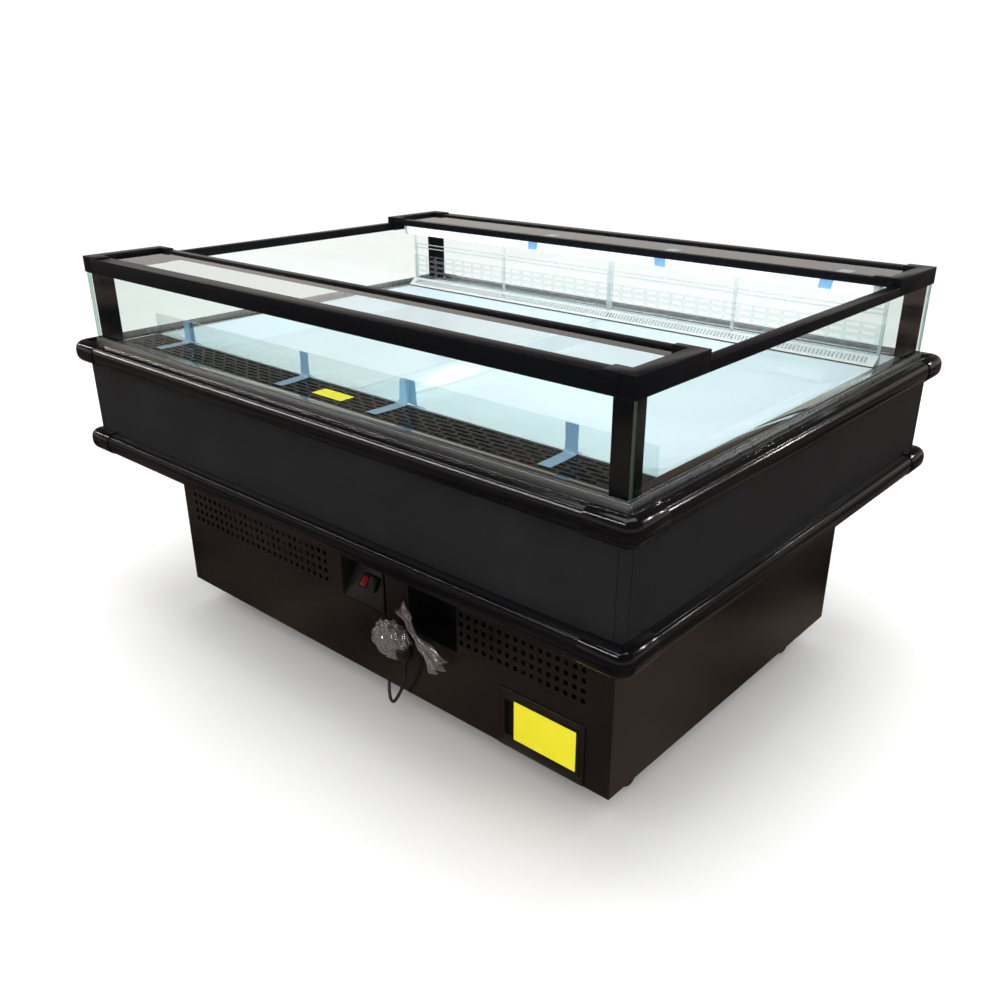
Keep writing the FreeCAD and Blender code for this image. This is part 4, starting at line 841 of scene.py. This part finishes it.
def corner_cap(name, middle, flange):
    """The cap of the corner at +X and -Y, lapping over the ends of both rails."""
    section = bumper_section(middle, flange, grow=CAP_GROW, ridged=False)
    piece = section_face(name, [(-TUB_Y - out, up) for out, up in section], "x",
                         TUB_X - ARM - CAP_LAP)
    alone(piece)
    bpy.ops.object.mode_set(mode="EDIT")
    bpy.ops.mesh.select_all(action="SELECT")
    push((ARM + CAP_LAP - CAP_KNEE, 0, 0))
    push((CAP_KNEE, 0, 0))
    bpy.ops.mesh.spin(steps=14, angle=-math.radians(90), center=(TUB_X, -TUB_Y, middle),
                      axis=(0, 0, 1))
    push((0, CAP_KNEE, 0))
    push((0, ARM + CAP_LAP - CAP_KNEE, 0))
    bpy.ops.object.mode_set(mode="OBJECT")
    outward(piece)
    return settle(piece, name)


caps = []
for middle, flange in ((UPPER, True), (LOWER, False)):
    one = corner_cap("bumper_cap", middle, flange)
    caps += [one, mirrored(one, "cap", x=-1), mirrored(one, "cap", y=-1),
             mirrored(one, "cap", x=-1, y=-1)]
cap_piece = merged("bumper_caps", *caps)
soften(cap_piece, 0.0014, 3, 60)
dress(cap_piece, extruded_pvc, "black_vinyl", "bumper_corner_caps")
low, high = cap_piece.bound_box[0], cap_piece.bound_box[6]
print("caps from", [round(v, 4) for v in low], "to", [round(v, 4) for v in high])

# %% [markdown]
# ## Rim
#
# Round the well runs a coping of mirror-polished stainless, and outside it an aluminium channel
# holds the wall glass. Behind the riser the coping is enamelled white.

# %% Coping and glazing channel
coping = rounded_copy("coping", "rim_coping", 0.0008, 2)
dress(coping, (mirror_stainless, white_enamel), "polished_steel", "rim_coping")
WHITE_FROM, WHITE_TO = 0.424, 0.514
WHITE_HALF, WHITE_TOP = 0.6975, 0.6885
for face in coping.data.polygons:
    spot = face.center
    behind_riser = WHITE_FROM < spot.y < WHITE_TO and abs(spot.x) < WHITE_HALF
    face.material_index = 1 if behind_riser and spot.z < WHITE_TOP else 0
dress(rounded_copy("glass_channel", "glazing_channel", 0.0004, 2), extruded_aluminium, "aluminium",
      "glazing_channel")
print("white faces on the coping", sum(face.material_index for face in coping.data.polygons))

# %% [markdown]
# ## Glass walls
#
# Four panes stand in the channel. Their big faces are clear, and their polished edges are
# greener, so the edges take a second finish.

# %% Wall panes
GLASS_EDGE = 0.0006
PANE_FOOT, PANE_HEAD = 0.684, 0.8446
LONG_HALF, LONG_IN, LONG_OUT = 0.7355, 0.5465, 0.5515
SIDE_HALF, SIDE_IN, SIDE_OUT = 0.5455, 0.7315, 0.7365
panes = []
for x, y, axis in (
    ((-LONG_HALF, LONG_HALF), (-LONG_OUT, -LONG_IN), 1),
    ((-LONG_HALF, LONG_HALF), (LONG_IN, LONG_OUT), 1),
    ((-SIDE_OUT, -SIDE_IN), (-SIDE_HALF, SIDE_HALF), 0),
    ((SIDE_IN, SIDE_OUT), (-SIDE_HALF, SIDE_HALF), 0),
):
    pane = block("wall_pane", (x[0], y[0], PANE_FOOT), (x[1], y[1], PANE_HEAD), GLASS_EDGE, 1)
    panes.append(glaze(pane, axis))
fit(merged("wall_panes", *panes), "clear_glass", "wall_glass")
print("panes", len(panes))

# %% [markdown]
# ## Canopies
#
# Each canopy is a frame of black box rails. Moulded end blocks with raised lugs clamp the
# rails' ends. The CAD shapes are right, and rounded edges are what makes them catch the light.

# %% Canopy frames
for name, node, width in (
    ("outer_rails", "canopy_outer_rails", 0.0011), ("inner_rails", "canopy_inner_rails", 0.0009),
    ("end_blocks", "canopy_end_blocks", 0.0013), ("side_rail_pair", "side_rails", 0.0011),
    ("posts", "corner_posts", 0.0013),
):
    slot_name = "black_plastic" if node == "canopy_end_blocks" else "black_rail"
    dress(rounded_copy(name, node, width, 3), painted_rail, slot_name, node)
print("canopy frames made")

# %% [markdown]
# A sheet of glass is sunk in each canopy frame, and small round plugs hide the screws in the
# posts.

# %% Canopy glass and post buttons
CANOPY_IN, CANOPY_OUT = 0.3800, 0.5190
BUTTON_X, BUTTON_Y = 0.712, 0.5102
low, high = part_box("canopy_glass")
tops = []
for near, far in ((-CANOPY_OUT, -CANOPY_IN), (CANOPY_IN, CANOPY_OUT)):
    pane = block("canopy_pane", (low.x, near, low.z), (high.x, far, high.z), GLASS_EDGE, 1)
    tops.append(glaze(pane, 2))
fit(merged("canopy_panes", *tops), "clear_glass", "canopy_glass")
buttons = []
for end in (-1, 1):
    for side in (-1, 1):
        for height in (0.735, 0.80):
            button = turned("plug_button", [(0, 0.004), (0.0006, 0.004), (0.0012, 0.0032)], 16)
            turn = Matrix.Rotation(math.radians(90 * side), 4, "X")
            place = (end * BUTTON_X, side * -BUTTON_Y, height)
            buttons.append(stood(button, "post_button", place, turn))
dress(merged("post_buttons", *buttons), moulded_abs, "black_plastic")
print("post buttons", len(buttons))

# %% [markdown]
# ## Lamp
#
# A slim lamp hangs under the rear canopy's inner rail. Its cover is opal, with a grey end cap
# at each end.

# %% Lamp
COVER_DROP = 0.012
END_CAP = 0.0135
low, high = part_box("led_lamp")
lamp_top = high.z - 0.0035
lamp_section = []
for i in range(25):
    turn = math.radians(180 + 180 * i / 24)
    lamp_section.append(((low.y + high.y) / 2 + math.cos(turn) * (high.y - low.y) / 2,
                         low.z + COVER_DROP + math.sin(turn) * COVER_DROP))
lamp_section += [(high.y, lamp_top - 0.002), (high.y - 0.002, lamp_top), (low.y + 0.002, lamp_top),
                 (low.y, lamp_top - 0.002)]
lamp = bar("lamp_cover", lamp_section, "x", low.x + 0.012, high.x - 0.012)
dress(lamp, opal_cover, "opal", "led_lamp")
ends = []
for end in (-1, 1):
    left, right = sorted((end * high.x, end * (high.x - END_CAP)))
    ends.append(bar("lamp_end", lamp_section, "x", left, right, 0.0008))
dress(merged("lamp_ends", *ends), white_moulding, "white_plastic")
clips = [block("lamp_clip", (x - 0.012, low.y, lamp_top - 0.001),
               (x + 0.012, low.y + 0.005, high.z), 0.0006) for x in (-0.5, 0, 0.5)]
dress(merged("lamp_clips", *clips), zinc_plate, "galvanised")
print("lamp length", round(high.x - low.x, 3))

# %% [markdown]
# ## Deck
#
# Two pressed pans make the deck. A pan is one sheet with a flange, sloping sides and soft
# creases. It is drawn as a surface, its creases are rounded, and only then it gets its
# thickness, so that the inside and the outside of each bend stay parallel.


# %% Deck pans
PAN_DEEP = 0.038
PAN_SHEET = 0.0016
PAN_BEND = 0.0055
PAN_FALL = 0.0022


def pan(name, node, body, side):
    """A pressed pan on one side of the middle, whose floor falls a little to its middle."""
    low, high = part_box(node)
    level, floor = high.z, high.z - PAN_DEEP
    near, far = (low.x, high.x) if side > 0 else (high.x, low.x)
    xs = [near, near + side * 0.008, near + side * 0.028, far - side * 0.088,
          far - side * 0.008, far]
    ys = [low.y, low.y + 0.008, low.y + 0.048, -0.150, 0.070, high.y - 0.048,
          high.y - 0.008, high.y]
    bpy.ops.object.select_all(action="DESELECT")
    bpy.ops.mesh.primitive_grid_add(x_subdivisions=5, y_subdivisions=7, size=1)
    piece = bpy.context.active_object
    for vertex in piece.data.vertices:
        column = round((vertex.co.x + 0.5) * 5)
        row = round((vertex.co.y + 0.5) * 7)
        deep = 2 <= column <= 3 and 2 <= row <= 5
        lift = PAN_FALL if deep and row in (2, 5) else 0.0
        vertex.co = (xs[column], ys[row], (floor + lift) if deep else level)
    alone(piece)
    bpy.ops.object.mode_set(mode="EDIT")
    bpy.ops.mesh.select_all(action="SELECT")
    bpy.ops.mesh.normals_make_consistent(inside=False)
    bpy.ops.object.mode_set(mode="OBJECT")
    if sum(face.normal.z for face in piece.data.polygons) < 0:
        piece.data.flip_normals()
    bend = piece.modifiers.new("bend", "BEVEL")
    bend.width = PAN_BEND
    bend.segments = 4
    bend.limit_method = "ANGLE"
    bend.angle_limit = math.radians(12)
    bpy.ops.object.modifier_apply(modifier=bend.name)
    sheet = piece.modifiers.new("sheet", "SOLIDIFY")
    sheet.thickness = PAN_SHEET
    sheet.offset = -1
    bpy.ops.object.modifier_apply(modifier=sheet.name)
    settle(piece, name)
    bpy.ops.object.shade_smooth_by_angle(angle=SHEET_CREASE)
    return dress(piece, white_enamel, "white_enamel", node, body=body)


pan("pan_left", "deck_pan_left", "left_pan", -1)
pan("pan_right", "deck_pan_right", "right_pan", 1)
print("deck pans made")

# %% [markdown]
# The return grille is a punched black sheet. The partition behind it is clear, and so is the
# punched riser at the back, which stands in a frame of slightly milky rails and uprights.

# %% Grille, partition, riser and louvre
paint(grille_coat, "return_grille")
paint(white_moulding, "rear_louvre")
dress(rounded_copy("partition", "front_partition", 0.0006, 2), float_glass, "clear_acrylic",
      "front_partition")
riser = rounded_copy("riser", "rear_riser", 0.0003, 1)
dress(riser, acrylic_sheet, "clear_acrylic", "rear_riser")
dress(rounded_copy("riser_rails", "riser_frame", 0.0006, 2), acrylic_edge, "clear_acrylic",
      "riser_frame")
print("riser has", len(riser.data.polygons), "faces")

# %% [markdown]
# ## Transit tape and sticker
#
# Strips of thin blue tape still hold the partition, the grille and the lamp for transport. Each
# one is a strip that follows a path across the parts that it holds.


# %% Blue tape
TAPE_THICK = 0.00016


def draped(name, spots, x, wide, lean=0.0):
    """A thin strip along (y, z) points, as wide as stated, leaning along X."""
    bpy.ops.object.select_all(action="DESELECT")
    bpy.ops.mesh.primitive_grid_add(x_subdivisions=1, y_subdivisions=len(spots) - 1, size=1)
    piece = bpy.context.active_object
    for vertex in piece.data.vertices:
        side, step = vertex.co.x, round((vertex.co.y + 0.5) * (len(spots) - 1))
        y, z = spots[step]
        vertex.co = (x + side * wide + lean * step, y, z)
    settle(piece, name)
    skin = piece.modifiers.new("skin", "SOLIDIFY")
    skin.thickness = TAPE_THICK
    skin.offset = 0
    bpy.ops.object.modifier_apply(modifier=skin.name)
    bpy.ops.object.shade_smooth_by_angle(angle=SHEET_CREASE)
    return outward(piece)


TAPE_WIDE, REAR_TAPE_WIDE = 0.026, 0.030
low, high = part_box("front_partition")
edge, front, back = high.z, low.y, high.y
over = [(front - 0.075, 0.6886), (front - 0.040, 0.6886), (front - 0.006, 0.6895),
        (front - 0.0003, 0.697), (front - 0.0003, edge - 0.002), (front + 0.0005, edge + 0.0003),
        (back - 0.0005, edge + 0.0003), (back + 0.0003, edge - 0.002), (back + 0.0003, 0.692),
        (back + 0.007, 0.6876), (back + 0.013, 0.6852), (back + 0.050, 0.6540)]
held = [draped("tape_front", over, x, TAPE_WIDE, lean) for x, lean in
        ((-0.571, 0.0015), (-0.134, -0.002), (0.139, 0.003), (0.540, -0.001))]
lamp_low, lamp_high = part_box("led_lamp")
glass_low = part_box("canopy_glass")[0].z
hung = [(lamp_low.y - 0.0002, lamp_low.z + 0.004), (lamp_low.y - 0.0002, lamp_high.z - 0.0080),
        (lamp_low.y - 0.0002, 0.8608), (lamp_low.y + 0.026, 0.8610),
        (lamp_low.y + 0.032, glass_low - 0.0003), (lamp_low.y + 0.085, glass_low - 0.0003)]
held += [draped("tape_rear", hung, x, REAR_TAPE_WIDE, lean) for x, lean in
         ((-0.215, 0.002), (0.172, -0.002), (0.575, 0.003))]
dress(merged("transit_tape", *held), blue_tape, "clear_film")
sticker = draped("grille_sticker", [(y, 0.6884) for y in (-0.487, -0.470, -0.452)], 0.0, 0.085)
dress(sticker, label_vinyl, "black_plastic")
print("tapes", len(held))

# %% [markdown]
# ## Film bag
#
# The plug is wrapped in clear film, tied into a wad with two loose ends. The wad is a ball
# whose surface is pushed in and out unevenly. Each loose end is a pleated fan that narrows to
# the knot.


# %% The wad of film
WAD_MIDDLE = (0.126, -0.4655, 0.196)
WAD_HALF = (0.050, 0.0235, 0.040)


def hump(place, seed):
    """A smooth uneven value from -1 to 1, the same on each run."""
    x, y, z = place
    return (math.sin(83 * x + 41 * y + 2.1 * seed) * math.sin(71 * z - 37 * y + 1.3 * seed)
            + 0.6 * math.sin(167 * z + 139 * x + seed) * math.cos(151 * y - 89 * z)) / 1.6


bpy.ops.object.select_all(action="DESELECT")
bpy.ops.mesh.primitive_ico_sphere_add(subdivisions=5, radius=1)
wad = bpy.context.active_object
for vertex in wad.data.vertices:
    way = vertex.co.normalized()
    swell = 1 + 0.16 * hump(way * 0.09, 3) + 0.07 * hump(way * 0.21, 8)
    vertex.co = [WAD_MIDDLE[i] + way[i] * WAD_HALF[i] * swell for i in range(3)]
wad = settle(wad, "film_wad")
bpy.ops.object.shade_smooth()
print("wad has", len(wad.data.polygons), "faces")

# %% [markdown]
# A fan is a fine grid whose rows widen from the knot to the tip and whose folds deepen on the way.


# %% The fans
FILM_THICK = 0.0004


def fan(name, root, tip, spread, pleats, phase):
    """A pleated strip of film that widens from its root to its tip."""
    bpy.ops.object.select_all(action="DESELECT")
    bpy.ops.mesh.primitive_grid_add(x_subdivisions=36, y_subdivisions=28, size=1)
    piece = bpy.context.active_object
    root, tip = Vector(root), Vector(tip)
    along = tip - root
    across = along.cross(Vector((0, 1, 0))).normalized()
    for vertex in piece.data.vertices:
        u, v = vertex.co.x * 2, vertex.co.y + 0.5
        wide = spread * (0.16 + 0.84 * v ** 0.8)
        fold = math.sin(u * pleats * 3.1 + phase) * (0.002 + 0.006 * v)
        fold += 0.003 * math.sin(9 * v + 4 * u)
        ragged = 1 + 0.08 * math.sin(u * 7 + phase) - 0.10 * abs(u)
        spot = root + along * v * ragged + across * wide * u
        spot.y += fold
        vertex.co = spot
    piece = settle(piece, name)
    skin = piece.modifiers.new("skin", "SOLIDIFY")
    skin.thickness = FILM_THICK
    bpy.ops.object.modifier_apply(modifier=skin.name)
    bpy.ops.object.shade_smooth()
    return piece


knot = (0.196, -0.466, 0.232)
tail_fan = fan("film_tail", knot, (0.262, -0.463, 0.176), 0.030, 2.2, 0.4)
top_fan = fan("film_top", knot, (0.154, -0.462, 0.284), 0.017, 1.6, 1.7)
bag = merged("film_bag", wad, tail_fan, top_fan)
dress(bag, crumpled_film, "clear_film", "plug_bag")
print("film bag has", len(bag.data.polygons), "faces")

# %% [markdown]
# ## Stage and light
#
# A pale paper floor stands in for a studio. Black gloss shows whatever is around it, so
# mirrored rays meet a dim brown hall there instead of the white paper.

# %% Floor
bpy.ops.object.select_all(action="DESELECT")
bpy.ops.mesh.primitive_plane_add(size=60, location=(0, 0, -0.0005))
floor = bpy.context.active_object
floor.name = "studio_floor"


def studio_floor():
    """White paper for all light but mirrored rays, which see a dim hall's floor."""
    material, tree, output = blank("floor_paper")
    place = add(tree, "ShaderNodeTexCoord").outputs["Object"]
    grain = add(tree, "ShaderNodeTexNoise", {"Vector": place, "Scale": 1.6, "Detail": 2.0})
    paper = ramp(tree, grain.outputs[0], [(0.3, linear("#f7f7f7")), (0.7, linear("#fbfbfb"))])
    matte = add(tree, "ShaderNodeBsdfDiffuse", {"Color": paper.outputs[0]})
    hall = ramp(tree, grain.outputs[0], [(0.38, linear("#121110")), (0.6, linear("#5a4e46"))])
    dim = add(tree, "ShaderNodeEmission", {"Color": hall.outputs[0], "Strength": 2.2})
    path = add(tree, "ShaderNodeLightPath")
    mix = add(tree, "ShaderNodeMixShader", {0: path.outputs["Is Glossy Ray"]})
    tree.links.new(matte.outputs[0], mix.inputs[1])
    tree.links.new(dim.outputs[0], mix.inputs[2])
    tree.links.new(mix.outputs[0], output.inputs["Surface"])
    return material


floor.data.materials.append(studio_floor())
print("floor laid")

# %% [markdown]
# The surround does the same: even white light, and a dim hall for mirrored rays, paler near
# the horizon. Only a few long lamps are bright there, and they draw the streaks along the
# bumpers without lighting anything else.

# %% Surround and lamps
world = bpy.data.worlds.new("surround")
bpy.context.scene.world = world
world.use_nodes = True
sky = world.node_tree
sky.nodes.clear()
path = add(sky, "ShaderNodeLightPath")
way = add(sky, "ShaderNodeSeparateXYZ", {0: add(sky, "ShaderNodeTexCoord").outputs["Generated"]})
hall = ramp(sky, way.outputs["Z"], [(0.0, linear("#e6e1dc")), (0.22, linear("#d2cac3")),
                                    (0.38, linear("#5a4c44")), (1.0, linear("#241f1c"))])
mirrored_hall = add(sky, "ShaderNodeBackground", {"Color": hall.outputs[0], "Strength": 1.05})
studio = add(sky, "ShaderNodeBackground", {"Color": (1.0, 0.995, 0.985, 1), "Strength": 1.12})
surround = add(sky, "ShaderNodeMixShader", {0: path.outputs["Is Glossy Ray"]})
sky.links.new(studio.outputs[0], surround.inputs[1])
sky.links.new(mirrored_hall.outputs[0], surround.inputs[2])
out = add(sky, "ShaderNodeOutputWorld")
sky.links.new(surround.outputs[0], out.inputs["Surface"])


def lamp_at(name, place, aim, size, power, only_mirrored=False):
    """A rectangular lamp aimed at a point. One that is only mirrored lights no matt surface."""
    light = bpy.data.lights.new(name, "AREA")
    light.shape = "RECTANGLE"
    light.size, light.size_y = size
    light.energy = power
    thing = bpy.data.objects.new(name, light)
    thing.location = place
    thing.rotation_euler = (Vector(aim) - Vector(place)).to_track_quat("-Z", "Y").to_euler()
    thing.visible_diffuse = not only_mirrored
    bpy.context.scene.collection.objects.link(thing)


lamp_at("overhead", (0.2, -0.1, 3.2), (0, 0, 0), (2.6, 2.0), 60)
lamp_at("streak_front", (-2.5, -2.0, 2.6), (-2.5, -0.5, 0.5), (6.4, 0.09), 110, only_mirrored=True)
for at_y in (2.6, 4.0):
    lamp_at("glint_right", (2.4, at_y, 2.5), (0.6, at_y, 0.5), (0.10, 0.7), 26, only_mirrored=True)
bpy.context.scene.view_settings.view_transform = "Standard"
print("stage and lamps made")
